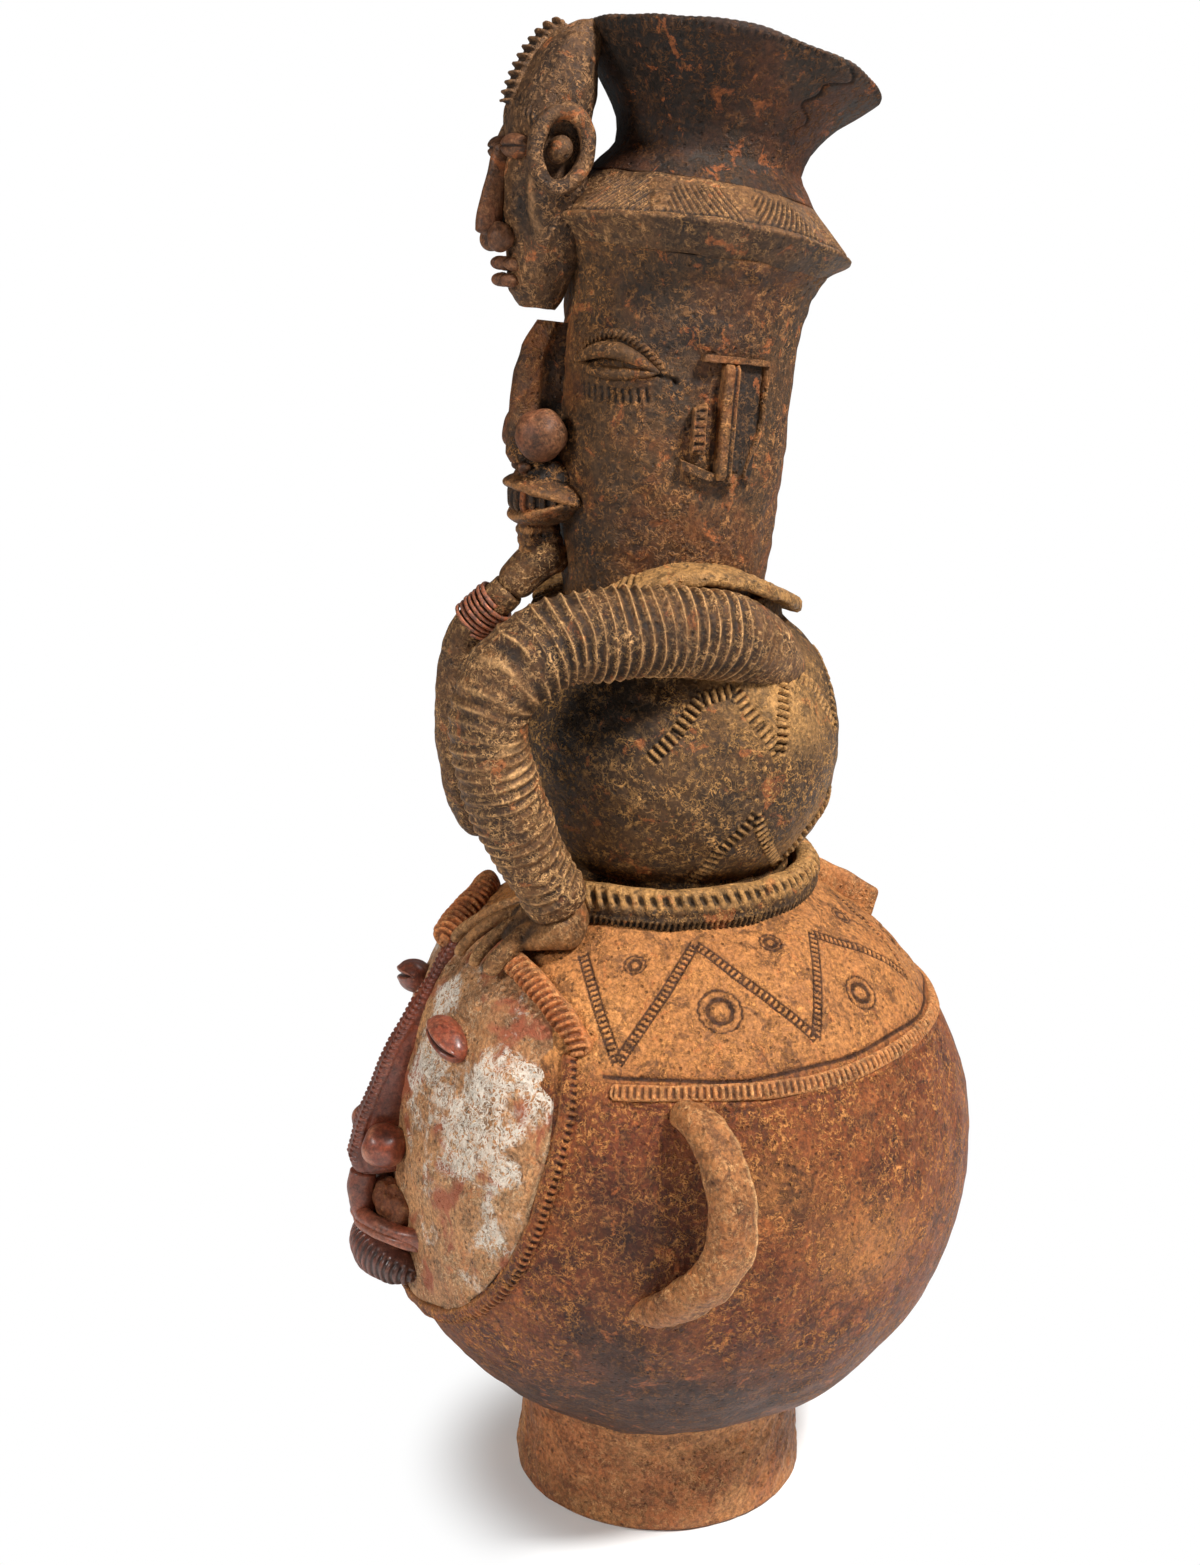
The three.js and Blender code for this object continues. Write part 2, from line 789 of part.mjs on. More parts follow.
function leftHand() {
  const palm = sweep({
    path: curveThrough([onGlobe(37.5, 60.5, 8), onGlobe(34, 60, 8), onGlobe(25, 56, 5)]),
    steps: 4,
    sides: 10,
    facing: awayFromGlobe,
    section: (share) => [
      mix(leftWristRadius, palmHalfWidth, smooth(0, 0.8, share)),
      mix(leftWristRadius * 0.8, palmHalfThickness, share),
      2.3,
    ],
  });
  const fingers = [];
  for (let k = 0; k < fingerCount; k += 1) {
    const share = k / (fingerCount - 1);
    const knuckle = [mix(36, 12, share), mix(56, 54, share)];
    const tip = [mix(28, 8.5, share), mix(45.5, 43, share)];
    fingers.push(fingerOn(knuckle, tip, fingerRadius, 0));
  }
  const thumb = fingerOn([39.5, 57.5], [31.5, 47.5], fingerRadius, 0);
  const hand = joined(palm, ...fingers, thumb);
  const neighbours = [globeMass(seam), facePanelMass(seam), bigNoseMass(seam)];
  return cut(hand, ...neighbours, waistRingMass(seam), leftArmMass(seam));
}

// Right arm: bowed out from the torso to its elbow, up the forearm, and straight at the wrist
function rightArmPath() {
  const level = shoulderHeight - rightShoulderDrop;
  const root = at(leftArmRootDepth - torsoRadius, torsoShift, level - rightArmRadius / 2);
  const shoulder = at(-rightShoulderSide, 0, level);
  const elbow = onGlobe(rightElbowAzimuth, rightElbowElevation, rightElbowProud);
  const wrist = at(-wristSide, -wristFront, shoulderHeight - wristDrop);
  const chin = at(-chinSide, -chinFront, shoulderHeight + chinRise);
  const upperArm = shoulder.clone().lerp(elbow, 0.45).add(at(-rightUpperArmBow, -rightUpperArmBow / 3, 0));
  const lower = shoulder.clone().lerp(elbow, 0.8).add(at(-rightUpperArmBow / 2, -rightUpperArmBow / 4, 0));
  const forearm = elbow.clone().lerp(wrist, 0.5).add(at(rightForearmBow / 2.5, -rightForearmBow, 0));
  const turn = wrist.clone().add(at(-rightWristRadius / 3, -rightWristRadius / 3, -rightWristRadius));
  const middle = wrist.clone().lerp(chin, 0.5);
  return curveThrough([root, shoulder, upperArm, lower, elbow, forearm, turn, wrist, middle, chin]);
}

function rightArmSection(share, grow) {
  const lower = mix(rightArmRadius, rightForearmRadius, smooth(0.3, 0.5, share));
  const wrist = mix(lower, rightWristRadius, smooth(0.72, 0.92, share));
  return [wrist + grow, wrist + grow, 2];
}

function rightArmMass(grow) {
  return sweep({
    path: rightArmPath(),
    steps: 26,
    sides: 8,
    facing: () => axisX.clone(),
    section: (share) => rightArmSection(share, grow),
  });
}

function rightArm() {
  return cut(rightArmMass(0), torsoMass(seam), globeMass(seam), waistRingMass(seam));
}

// Hand that closes round the beard under the chin
function rightHandMass(grow) {
  const path = rightArmPath();
  const wrist = path.getPointAt(1);
  const onward = path.getTangentAt(1);
  return sweep({
    path: curveThrough([
      wrist.clone().addScaledVector(onward, seam),
      wrist.clone().addScaledVector(onward, 6),
      at(0, -gripFront, shoulderHeight + gripRise),
      at(0, gripDepth - gripFront, shoulderHeight + 1.4 * gripRise),
    ]),
    steps: 6,
    sides: 10,
    facing: () => axisX.clone(),
    section: (share) => {
      const size = mix(rightWristRadius, rightHandRadius, smooth(0, 0.6, share)) + grow;
      return [size, size, 2.2];
    },
  });
}

function rightHand() {
  const head = reshaped(headMass(seam), leaned);
  return cut(rightHandMass(0), head, collarMassForHand(), beardMass(seam));
}

// The collar as the hand meets it, a plain disc grown by a seam
function collarMassForHand() {
  const height = collarHeight(0);
  const reach = collarRadius + seam;
  const top = height + collarThickness / 2 + seam;
  const bottom = height - collarThickness - seam;
  return turned([[0, bottom], [reach, bottom], [reach, top], [0, top]], headFacets);
}

function beardMass(grow) {
  return sweep({
    path: curveThrough([
      onHead(0, headLowerLipHeight - 3, 10),
      onHead(0, headLowerLipHeight - 12, 15),
      onHead(0, headLowerLipHeight - 23, 10),
      onHead(0, headLowerLipHeight - 31, 4),
    ].map(leaned)),
    steps: 5,
    sides: 9,
    facing: () => axisX.clone(),
    section: (share) => {
      const size = beardRadius * (1 - 0.2 * share) + grow;
      return [size, size, 2];
    },
  });
}

function beard() {
  const head = reshaped(headMass(seam), leaned);
  const lip = reshaped(lowerLipOfHeadMass(seam), leaned);
  return cut(beardMass(0), head, lip);
}

// Wire wound round the right wrist, its ends laid straight
function braceletPath() {
  const arm = rightArmPath();
  const length = arm.getLength();
  const span = (braceletTurns * braceletPitch) / length;
  const start = 1 - braceletInset / length - span;
  const reach = rightWristRadius + seam + braceletWire / 2 + 0.1;
  const steps = braceletTurns * braceletSteps;
  const points = [];
  for (let k = 0; k <= steps; k += 1) {
    const share = start + (span * k) / steps;
    const centre = arm.getPointAt(share);
    const along = arm.getTangentAt(share);
    const out = axisX.clone().projectOnPlane(along).normalize();
    const aside = along.clone().cross(out);
    const turn = (k / braceletSteps) * wholeTurn;
    points.push(centre.addScaledVector(out, reach * Math.cos(turn))
      .addScaledVector(aside, reach * Math.sin(turn)));
  }
  const first = points[0].clone().sub(points[1]).setLength(braceletWire);
  const last = points[steps].clone().sub(points[steps - 1]).setLength(braceletWire);
  return [points[0].clone().add(first), ...points, points[steps].clone().add(last)];
}

function leastGap(points, perLoop, thickness) {
  let least = Infinity;
  for (let k = 0; k < points.length; k += 1) {
    for (let other = k + Math.round(perLoop / 2); other < points.length; other += 1) {
      least = Math.min(least, points[k].distanceTo(points[other]) - thickness);
    }
  }
  return least;
}

function wristBracelet() {
  const points = braceletPath();
  console.log(`least gap in the bracelet ${leastGap(points, braceletSteps, braceletWire).toFixed(2)} mm`);
  const rings = points.map((point, k) => {
    const before = points[Math.max(0, k - 1)];
    const after = points[Math.min(points.length - 1, k + 1)];
    const along = after.clone().sub(before).normalize();
    const out = at(0.31, -0.5, 0.8).projectOnPlane(along).normalize();
    const aside = along.clone().cross(out);
    return Array.from({ length: 5 }, (_, corner) => {
      const turn = (corner / 5) * wholeTurn;
      return point.clone().addScaledVector(out, (braceletWire / 2) * Math.cos(turn))
        .addScaledVector(aside, (braceletWire / 2) * Math.sin(turn));
    });
  });
  return loft(rings);
}

// Panel of the face, a dome bedded on the flattened front of the globe
function facePanelMass(grow) {
  const spokes = 28;
  const bands = 4;
  const rings = [];
  const ringAt = (scale, offset) => Array.from({ length: spokes }, (_, k) => {
    const { x, rise } = faceOutline((k / spokes) * 360, scale);
    const z = globeCentreHeight + rise;
    return at(x, globeFront(x, z) + offset(x, z), z);
  });
  const front = (x, z) => faceDent(x, z) - facePanelProud - grow;
  const back = (x, z) => faceSeat(x, z) + bury;
  for (let k = 1; k <= bands; k += 1) {
    rings.push(ringAt((k / bands) * (1 + grow / faceHalfHeight), front));
  }
  for (let k = bands; k >= 1; k -= 1) {
    rings.push(ringAt((k / bands) * (1 + grow / faceHalfHeight), back));
  }
  return loft(rings);
}

function facePanel() {
  return cut(facePanelMass(0), globeMass(seam));
}

function faceEdgePath(fromDegrees, toDegrees, scale, out, steps) {
  const points = [];
  for (let k = 0; k <= steps; k += 1) {
    const { x, rise } = faceOutline(mix(fromDegrees, toDegrees, k / steps), scale);
    const edge = at(x, globeFront(x, globeCentreHeight + rise), globeCentreHeight + rise);
    points.push(edge.addScaledVector(awayFromGlobe(edge).normalize(), out));
  }
  return curveThrough(points);
}

// Notched cord along the lower edge of the panel, from brow to brow
function faceBorderMass(grow) {
  return sweep({
    path: faceEdgePath(browLowAngle - 5, -180 - browLowAngle + 5, 1.035, 0.5, 28),
    steps: borderNotches * 2,
    sides: 4,
    facing: awayFromGlobe,
    section: (share, row) => [
      borderHalfWidth + grow,
      borderHalfHeight - (row % 2 ? 1.2 : 0) + grow,
      2.4,
    ],
  });
}

function faceBorder() {
  return cut(faceBorderMass(0), globeMass(seam), facePanelMass(seam));
}

// Thick notched band over the brow, low at the temple and proud near the forehead
function browBand(topAngle, notches) {
  const band = sweep({
    path: faceEdgePath(browLowAngle, topAngle, 1.05, 0, 12),
    steps: notches * 2,
    sides: 6,
    facing: awayFromGlobe,
    section: (share, row) => {
      const rise = mix(browLowHeight, browTopHeight, share);
      const notch = row % 2 ? 2 : 0;
      return [browHalfWidth - notch * 0.3, rise - notch, 2.6];
    },
  });
  return cut(band, globeMass(seam), facePanelMass(seam), waistRingMass(seam));
}

function browBandLeft() {
  return browBand(browTopAngle, browNotches);
}

function browBandRight() {
  const band = browBand(farBrowTopAngle, Math.round(browNotches * 1.6));
  return cut(mirrored(band), rightArmMass(seam));
}

// Tall nose bar of the globe's face, its front edge nicked along the upper part
function bigNoseMass(grow) {
  const outline = new THREE.Shape();
  const top = globeCentreHeight + noseTopRise + grow;
  const bottom = globeCentreHeight + noseBottomRise - grow;
  const topReach = globeShift - globeFront(0, globeCentreHeight + noseTopRise) + noseTopProud;
  const tipReach = globeRadius + noseTipProud;
  outline.moveTo(globeShift - topReach + 2 * globeWall, top);
  for (let k = 0; k <= noseNotches * 2; k += 1) {
    const share = k / (noseNotches * 2);
    const reach = mix(topReach, tipReach, share ** 0.85) + grow;
    const nick = k % 2 ? 1.6 * (1 - share) : 0;
    outline.lineTo(globeShift - reach + nick, mix(top, bottom + 7, share));
  }
  outline.lineTo(globeShift - tipReach + 7 - grow, bottom);
  outline.lineTo(globeShift - globeRadius + faceDepth + bury, bottom);
  const depth = 2 * (noseHalfWidth - 2 + grow);
  const bar = new THREE.ExtrudeGeometry(outline, {
    depth,
    bevelThickness: 2,
    bevelSize: 1.5,
    bevelOffset: -1.5,
    bevelSegments: 1,
  });
  const basis = new THREE.Matrix4().makeBasis(axisY, axisZ, axisX);
  return solidFrom(bar.translate(0, 0, -depth / 2).applyMatrix4(basis));
}

function noseRidge() {
  return cut(bigNoseMass(0), facePanelMass(seam), globeMass(seam));
}

function bigNostrilMass(grow) {
  const rise = noseBottomRise + nostrilRadius + 8;
  const centre = onFace(noseHalfWidth + nostrilRadius * 0.6, rise, nostrilRadius * 0.8);
  const radius = nostrilRadius + grow;
  return lump(centre, radius, radius, radius);
}

function bigNostrils() {
  return pairCut(bigNostrilMass(0), bigNoseMass(seam), facePanelMass(seam));
}

// Coffee-bean eye, its axis level and its ends pointed
function bigEyes() {
  const points = [-1, -0.5, 0, 0.5, 1].map((share) => {
    const x = eyeSpacing + share * eyeHalfLength;
    return onFace(x, eyeRise - Math.abs(share) * 2, 1);
  });
  const bean = sweep({
    path: curveThrough(points),
    steps: 8,
    sides: 10,
    facing: awayFromGlobe,
    section: (share) => {
      const swell = Math.max(0.25, Math.sin(share * Math.PI)) ** 0.7;
      return [eyeHalfHeight * swell, eyeHalfHeight * swell * 1.1, 2];
    },
  });
  return pairCut(bean, facePanelMass(seam));
}

// Lip of the big face: a crescent from corner to corner that stands out in the middle
function bigLipMass({ cornerRise, middleRise, proud, halfHeight, grow }) {
  const points = [];
  for (let k = -4; k <= 4; k += 1) {
    const share = k / 4;
    const swell = Math.cos(share * Math.PI * 0.5);
    const out = (proud - halfHeight * 0.8) * swell;
    points.push(onFace(share * lipHalfWidth, mix(cornerRise, middleRise, swell), out));
  }
  return sweep({
    path: curveThrough(points),
    steps: 10,
    sides: 8,
    facing: awayFromGlobe,
    section: (share) => {
      const swell = 0.45 + 0.55 * Math.sin(share * Math.PI);
      return [halfHeight * swell + grow, halfHeight * swell * 0.8 + grow, 2.2];
    },
  });
}

function bigUpperLipMass(grow) {
  return bigLipMass({
    cornerRise: upperLipCornerRise,
    middleRise: upperLipMiddleRise,
    proud: upperLipProud,
    halfHeight: upperLipHalfHeight,
    grow,
  });
}

function bigUpperLip() {
  const nostril = bigNostrilMass(seam);
  const neighbours = [facePanelMass(seam), bigNoseMass(seam), nostril, mirrored(nostril)];
  return cut(bigUpperLipMass(0), ...neighbours);
}

function bigLowerLip() {
  const lip = bigLipMass({
    cornerRise: lowerLipCornerRise,
    middleRise: lowerLipMiddleRise,
    proud: lowerLipProud,
    halfHeight: lowerLipHalfHeight,
    grow: 0,
  });
  return cut(lip, bigUpperLipMass(seam), facePanelMass(seam));
}

// Notched cord round the shoulder of the globe, open across the face
function shoulderBand() {
  const points = [];
  for (let k = 0; k <= 28; k += 1) {
    const azimuth = mix(bandStartAzimuth, 360 - bandStartAzimuth, k / 28);
    points.push(onGlobe(azimuth, bandElevation, 0.3));
  }
  const cord = sweep({
    path: curveThrough(points),
    steps: bandNotches * 2,
    sides: 4,
    facing: awayFromGlobe,
    section: (share, row) => [bandHalfWidth, bandHalfHeight - (row % 2 ? 1.1 : 0), 3],
  });
  return cut(cord, globeMass(seam), faceBorderMass(seam));
}

// Bowed ear handle, swept toward the back, with room for two fingers behind it
function earHandles() {
  const middle = onGlobe(
    mix(handleTopAzimuth, handleBottomAzimuth, 0.5),
    mix(handleTopElevation, handleBottomElevation, 0.5),
    -2 * bury,
  );
  const points = [];
  for (let k = 0; k <= 8; k += 1) {
    const turn = (k / 8) * Math.PI;
    const level = (1 - Math.cos(turn)) / 2;
    const azimuth = mix(handleTopAzimuth, handleBottomAzimuth, level) + handleSweep * Math.sin(turn);
    const elevation = mix(handleTopElevation, handleBottomElevation, level);
    points.push(onGlobe(azimuth, elevation, handleBow * Math.sin(turn) - bury));
  }
  const strap = sweep({
    path: curveThrough(points),
    steps: 16,
    sides: 8,
    facing: (point) => point.clone().sub(middle),
    section: (share) => {
      const taper = 0.72 + 0.28 * Math.sin(share * Math.PI);
      return [handleHalfWidth * taper, handleHalfThickness * taper, 2.5];
    },
  });
  return pairCut(strap, globeMass(seam));
}

// Crest down the back of the globe's shoulder, starting behind the waist ring
function backCrest() {
  const start = at(0, waistRingShift + waistRingRadius + seam, 0);
  const startHeight = waistHeight - waistNeckHeight;
  const tip = onGlobe(180, crestTipElevation, crestTipProud);
  const foot = onGlobe(180, crestFootElevation, -bury);
  const outline = new THREE.Shape([
    new THREE.Vector2(start.y, startHeight + 2),
    new THREE.Vector2(tip.y - 3, tip.z + 2.5),
    new THREE.Vector2(tip.y, tip.z - 1),
    new THREE.Vector2(foot.y, foot.z),
    new THREE.Vector2(start.y, startHeight - 2 * bury),
  ]);
  const plate = new THREE.ExtrudeGeometry(outline, { depth: crestWidth, bevelEnabled: false });
  const basis = new THREE.Matrix4().makeBasis(axisY, axisZ, axisX);
  const fin = solidFrom(plate.translate(0, 0, -crestWidth / 2).applyMatrix4(basis));
  return cut(fin, globeMass(seam));
}

// Nose bar of the head
function headNoseMass(grow) {
  const points = [];
  for (let k = 0; k <= 4; k += 1) {
    const share = k / 4;
    const proud = mix(headNoseTopProud, headNoseTipProud, share) / 2 - bury / 2;
    points.push(onHead(0, mix(headNoseTopHeight, headNoseBottomHeight, share), proud));
  }
  return sweep({
    path: curveThrough(points),
    steps: 5,
    sides: 8,
    facing: awayFromHead,
    section: (share) => {
      const depth = mix(headNoseTopProud, headNoseTipProud, share) / 2 + bury / 2;
      return [headNoseHalfWidth + grow, depth + grow, 3.6];
    },
  });
}

function headNose() {
  return cut(headNoseMass(0), headMass(seam));
}

function headNostrils() {
  const height = headNoseBottomHeight + headNostrilRadius;
  const aside = headNoseHalfWidth + headNostrilRadius * 0.6;
  const reach = radiusAt(height) + headNostrilRadius * 0.75;
  const centre = at(aside, -reach, height);
  const ball = lump(centre, headNostrilRadius, headNostrilRadius, headNostrilRadius);
  return pairCut(ball, headNoseMass(seam), headMass(seam));
}

// Crescent on the head from one azimuth to another, with its middle raised or dropped
function headCrescent({ middle, halfSpan, height, arch, radius, out, grow = 0 }) {
  const points = [];
  for (let k = -4; k <= 4; k += 1) {
    const share = k / 4;
    const swell = Math.cos((share * Math.PI) / 2);
    points.push(onHead(middle + share * halfSpan, height + arch * swell, out * swell));
  }
  return sweep({
    path: curveThrough(points),
    steps: 6,
    sides: 6,
    facing: awayFromHead,
    section: (share) => {
      const swell = 0.3 + 0.7 * Math.sin(share * Math.PI);
      return [radius * swell + grow, radius * swell + grow, 2.2];
    },
  });
}

function headEyelidMass(upper, grow) {
  return headCrescent({
    middle: headEyeAzimuth,
    halfSpan: headEyeHalfSpan,
    height: headEyeHeight - 3,
    arch: upper ? 6.5 : -3,
    radius: headLidRadius,
    out: 0.5,
    grow,
  });
}

function headUpperLids() {
  const lower = headEyelidMass(false, seam);
  return pairCut(headEyelidMass(true, 0), headMass(seam), lower, mirrored(lower));
}

function headLowerLids() {
  return pairCut(headEyelidMass(false, 0), headMass(seam));
}

function headBrows() {
  const brow = headCrescent({
    middle: headEyeAzimuth,
    halfSpan: headEyeHalfSpan + 2,
    height: headEyeHeight - 2,
    arch: 14,
    radius: headBrowRadius,
    out: 0,
  });
  const lid = headEyelidMass(true, seam);
  return pairCut(brow, headMass(seam), lid, mirrored(lid));
}

function upperLipOfHeadMass(grow) {
  return headCrescent({
    middle: 0,
    halfSpan: headLipHalfSpan,
    height: headUpperLipHeight - 8,
    arch: 6,
    radius: headLipRadius,
    out: headLipProud,
    grow,
  });
}

function lowerLipOfHeadMass(grow) {
  return headCrescent({
    middle: 0,
    halfSpan: headLipHalfSpan,
    height: headLowerLipHeight + 6,
    arch: -6,
    radius: headLipRadius * 0.9,
    out: headLipProud,
    grow,
  });
}

function headUpperLip() {
  return cut(upperLipOfHeadMass(0), headMass(seam), headNoseMass(seam));
}

function headLowerLip() {
  return cut(lowerLipOfHeadMass(0), headMass(seam), upperLipOfHeadMass(seam));
}

// Plate on the head between two azimuths and two heights
function headPlate(fromAzimuth, toAzimuth, bottom, top, thickness, drawIn = 0) {
  const steps = toAzimuth - fromAzimuth > 10 ? 3 : 1;
  const rings = [];
  for (let k = 0; k <= steps; k += 1) {
    const azimuth = mix(fromAzimuth, toAzimuth, k / steps);
    const low = bottom + (drawIn * k) / steps;
    rings.push([
      onHead(azimuth, low, -bury),
      onHead(azimuth, low, thickness - 1),
      onHead(azimuth, low + 1, thickness),
      onHead(azimuth, top - 1, thickness),
      onHead(azimuth, top, thickness - 1),
      onHead(azimuth, top, -bury),
    ]);
  }
  return loft(rings);
}

// Ear of the head: a back flap, a ledge above and below, and a tall bar down the middle
function headEarFrames() {
  const bottom = headEarBottomHeight;
  const top = headEarTopHeight;
  const flap = headPlate(headEarBarAzimuth, headEarBackAzimuth, bottom, top, headEarThickness * 0.55, 6);
  const upper = headPlate(headEarFrontAzimuth + 3, headEarBackAzimuth, top - 5, top, headEarThickness);
  const lower = headPlate(headEarFrontAzimuth - 3, headEarBarAzimuth + 5, bottom, bottom + 6,
    headEarThickness * 0.8);
  const bar = headPlate(headEarBarAzimuth - 3, headEarBarAzimuth + 2, bottom + 1, top - 1,
    headEarThickness);
  return pairCut(joined(flap, upper, lower, bar), headMass(seam));
}

function headEarBlocks() {
  const from = headEarFrontAzimuth;
  const bottom = mix(headEarBottomHeight, headEarTopHeight, 0.26);
  const top = mix(headEarBottomHeight, headEarTopHeight, 0.64);
  return pairCut(headPlate(from, from + 6, bottom, top, headEarThickness + 1), headMass(seam));
}

const maskHeight = rimHeight - maskBelowRim - maskBottomHeight;

// Small head: half width, front and back at shares of its height
const maskSections = [
  [0, 0.24, 0.82, 1.05],
  [0.05, 0.4, 0.87, 1],
  [0.16, 0.6, 0.9, 0.92],
  [0.28, 0.74, 0.94, 0.92],
  [0.4, 0.86, 0.97, 0.95],
  [0.53, 0.95, 0.99, 0.98],
  [0.65, 1, 1, 1],
  [0.76, 0.98, 0.985, 1.02],
  [0.86, 0.9, 0.945, 1.05],
  [0.94, 0.76, 0.88, 1.06],
  [1, 0.5, 0.78, 1.06],
];

function maskMass(grow) {
  const sides = 14;
  const rings = maskSections.map(([share, width, front, back], row) => {
    const middle = (maskFront * front + maskBack * back) / 2;
    const depth = (maskFront * front - maskBack * back) / 2 + grow;
    const end = row === 0 ? -grow : row === maskSections.length - 1 ? grow : 0;
    return Array.from({ length: sides }, (_, k) => {
      const angle = ((k + 0.5) / sides) * wholeTurn;
      const [x, y] = outlinePoint(angle, maskHalfWidth * width + grow, depth, 2.5);
      return at(x, y - middle, maskBottomHeight + maskHeight * share + end);
    });
  });
  return loft(rings);
}

function smallHead() {
  return cut(reshaped(maskMass(0), leaned), reshaped(headMass(seam), leaned));
}

function maskFaceAt(x, share, out) {
  const next = maskSections.findIndex(([level]) => level >= share);
  const [above, width, front] = maskSections[next];
  const [below, widthBelow, frontBelow] = maskSections[Math.max(0, next - 1)];
  const step = above === below ? 0 : (share - below) / (above - below);
  const half = maskHalfWidth * mix(widthBelow, width, step);
  const reach = maskFront * mix(frontBelow, front, step);
  const round = (1 - Math.abs(x / half) ** 2.5) ** 0.4;
  const depth = (reach - maskBack) / 2;
  return at(x, -(reach - depth + depth * round) - out, maskBottomHeight + maskHeight * share);
}

// Segmented crest of hair from the hat's rim down to the brow
function hairCrest() {
  const shares = [0.97, 0.92, 0.86, 0.79, 0.72, 0.65];
  const crest = sweep({
    path: curveThrough(shares.map((share) => maskFaceAt(0, share, 0))),
    steps: maskCrestNotches * 2,
    sides: 6,
    facing: (point) => at(0, point.y, (point.z - maskBottomHeight - maskHeight * 0.6) * 0.9),
    section: (share, row) => [maskCrestHalfWidth, maskCrestHalfHeight - (row % 2 ? 1.3 : 0), 2.4],
  });
  return cut(crest, maskMass(seam), headMass(seam));
}

function maskNoseMass(grow) {
  const shares = [0.54, 0.42, 0.3, 0.23];
  return sweep({
    path: curveThrough(shares.map((share, k) => maskFaceAt(0, share, 1 + k * 3.2))),
    steps: 5,
    sides: 8,
    facing: () => axisY.clone().negate(),
    section: (share) => [maskNoseHalfWidth + grow, mix(5, 7.5, share) + grow, 3],
  });
}

function maskNose() {
  return cut(maskNoseMass(0), maskMass(seam));
}

function maskNostrilMass(grow) {
  const radius = maskNostrilRadius + grow;
  const aside = maskNoseHalfWidth + maskNostrilRadius * 0.7;
  return lump(maskFaceAt(aside, 0.22, maskNostrilRadius * 0.75), radius, radius, radius);
}

function maskNostrils() {
  return pairCut(maskNostrilMass(0), maskNoseMass(seam), maskMass(seam));
}

function maskEyes() {
  const share = (maskEyeHeight - maskBottomHeight) / maskHeight;
  return pairCut(lump(maskFaceAt(maskEyeSpacing, share, 2), 9, 6.5, 5.5), maskMass(seam));
}

function maskLips() {
  const upper = maskFaceAt(0, 0.13, 5);
  const lower = maskFaceAt(0, 0.06, 4);
  const lips = joined(lump(upper, 10, 8, 5.5), lump(lower, 8.5, 7, 5.5));
  const nostril = maskNostrilMass(seam);
  return cut(lips, maskMass(seam), maskNoseMass(seam), nostril, mirrored(nostril));
}

function maskEarCentre() {
  return at(maskHalfWidth + 3.5, -(maskFront + maskBack) / 2, maskEarHeight);
}

// Ring ear of the small head, taller than wide, with a plug standing in it
function ringEars() {
  const ring = new THREE.TorusGeometry(maskEarRadius, maskEarTube, 6, 16).rotateY(Math.PI / 2);
  const ear = solidFrom(ring.scale(1.15, 1, maskEarStretch).translate(...maskEarCentre()));
  return pairCut(ear, maskMass(seam), headMass(seam));
}

function earPlugs() {
  const centre = maskEarCentre();
  const plug = lump(centre.setX(centre.x - 1), 8, maskEarPlugRadius, maskEarPlugRadius * 1.2);
  return pairCut(plug, maskMass(seam), headMass(seam));
}

// Colours of the fired clay, from the photograph
const clay = {
  foot: { color: 0xa5693f, roughness: 0.85 },
  globe: { color: 0x9a5c34, roughness: 0.8 },
  shoulder: { color: 0xb17a48, roughness: 0.85 },
  handle: { color: 0xc08a58, roughness: 0.85 },
  panel: { color: 0x9a8468, roughness: 0.9 },
  slip: { color: 0x8c4a30, roughness: 0.5 },
  torso: { color: 0x6a5138, roughness: 0.8 },
  arm: { color: 0x7d6040, roughness: 0.75 },
  head: { color: 0x5c452f, roughness: 0.8 },
  wire: { color: 0xa4553a, roughness: 0.55 },
};

const vessel = new THREE.Group();

function place(name, finish, solid) {
  const { points, faces } = partsOf(solid);
  const geometry = new THREE.BufferGeometry();
  geometry.setAttribute('position', new THREE.Float32BufferAttribute(points.flatMap((p) => p.toArray()), 3));
  geometry.setIndex(faces.flat());
  geometry.computeVertexNormals();
  const mesh = new THREE.Mesh(geometry, new THREE.MeshStandardMaterial({ ...clay[finish], metalness: 0 }));
  mesh.name = name;
  vessel.add(mesh);
}

function placeOnHead(name, finish, solid) {
  place(name, finish, reshaped(solid, leaned));
}

function placePair(name, finish, [left, right]) {
  place(`${name}_left`, finish, left);
  place(`${name}_right`, finish, right);
}

function placePairOnHead(name, finish, pair) {
  placePair(name, finish, pair.map((solid) => reshaped(solid, leaned)));
}

place('foot_ring', 'foot', footRing());
place('belly_pot', 'globe', bellyPot());
place('face_panel', 'panel', facePanel());
place('face_border', 'globe', faceBorder());
place('brow_band_left', 'shoulder', browBandLeft());
place('brow_band_right', 'shoulder', browBandRight());
place('nose_ridge', 'slip', noseRidge());
placePair('nostril', 'slip', bigNostrils());
placePair('eye', 'slip', bigEyes());
place('upper_lip', 'slip', bigUpperLip());
place('lower_lip', 'slip', bigLowerLip());
placePair('ear_handle', 'handle', earHandles());
place('shoulder_band', 'shoulder', shoulderBand());
place('back_crest', 'shoulder', backCrest());
place('waist_ring', 'torso', waistRing());
place('torso_pot', 'torso', torsoPot());
place('collar', 'arm', collar());
place('left_arm', 'arm', leftArm());
place('left_hand', 'arm', leftHand());
place('right_arm', 'arm', rightArm());
place('right_hand', 'arm', rightHand());
place('beard', 'head', beard());
place('wrist_bracelet', 'wire', wristBracelet());
placeOnHead('head_cylinder', 'head', headCylinder());
placeOnHead('hat_brim', 'head', hatBrim());
placeOnHead('mouth_funnel', 'head', mouthFunnel());
placeOnHead('head_nose', 'head', headNose());
placePairOnHead('head_nostril', 'slip', headNostrils());
placePairOnHead('head_upper_lid', 'head', headUpperLids());
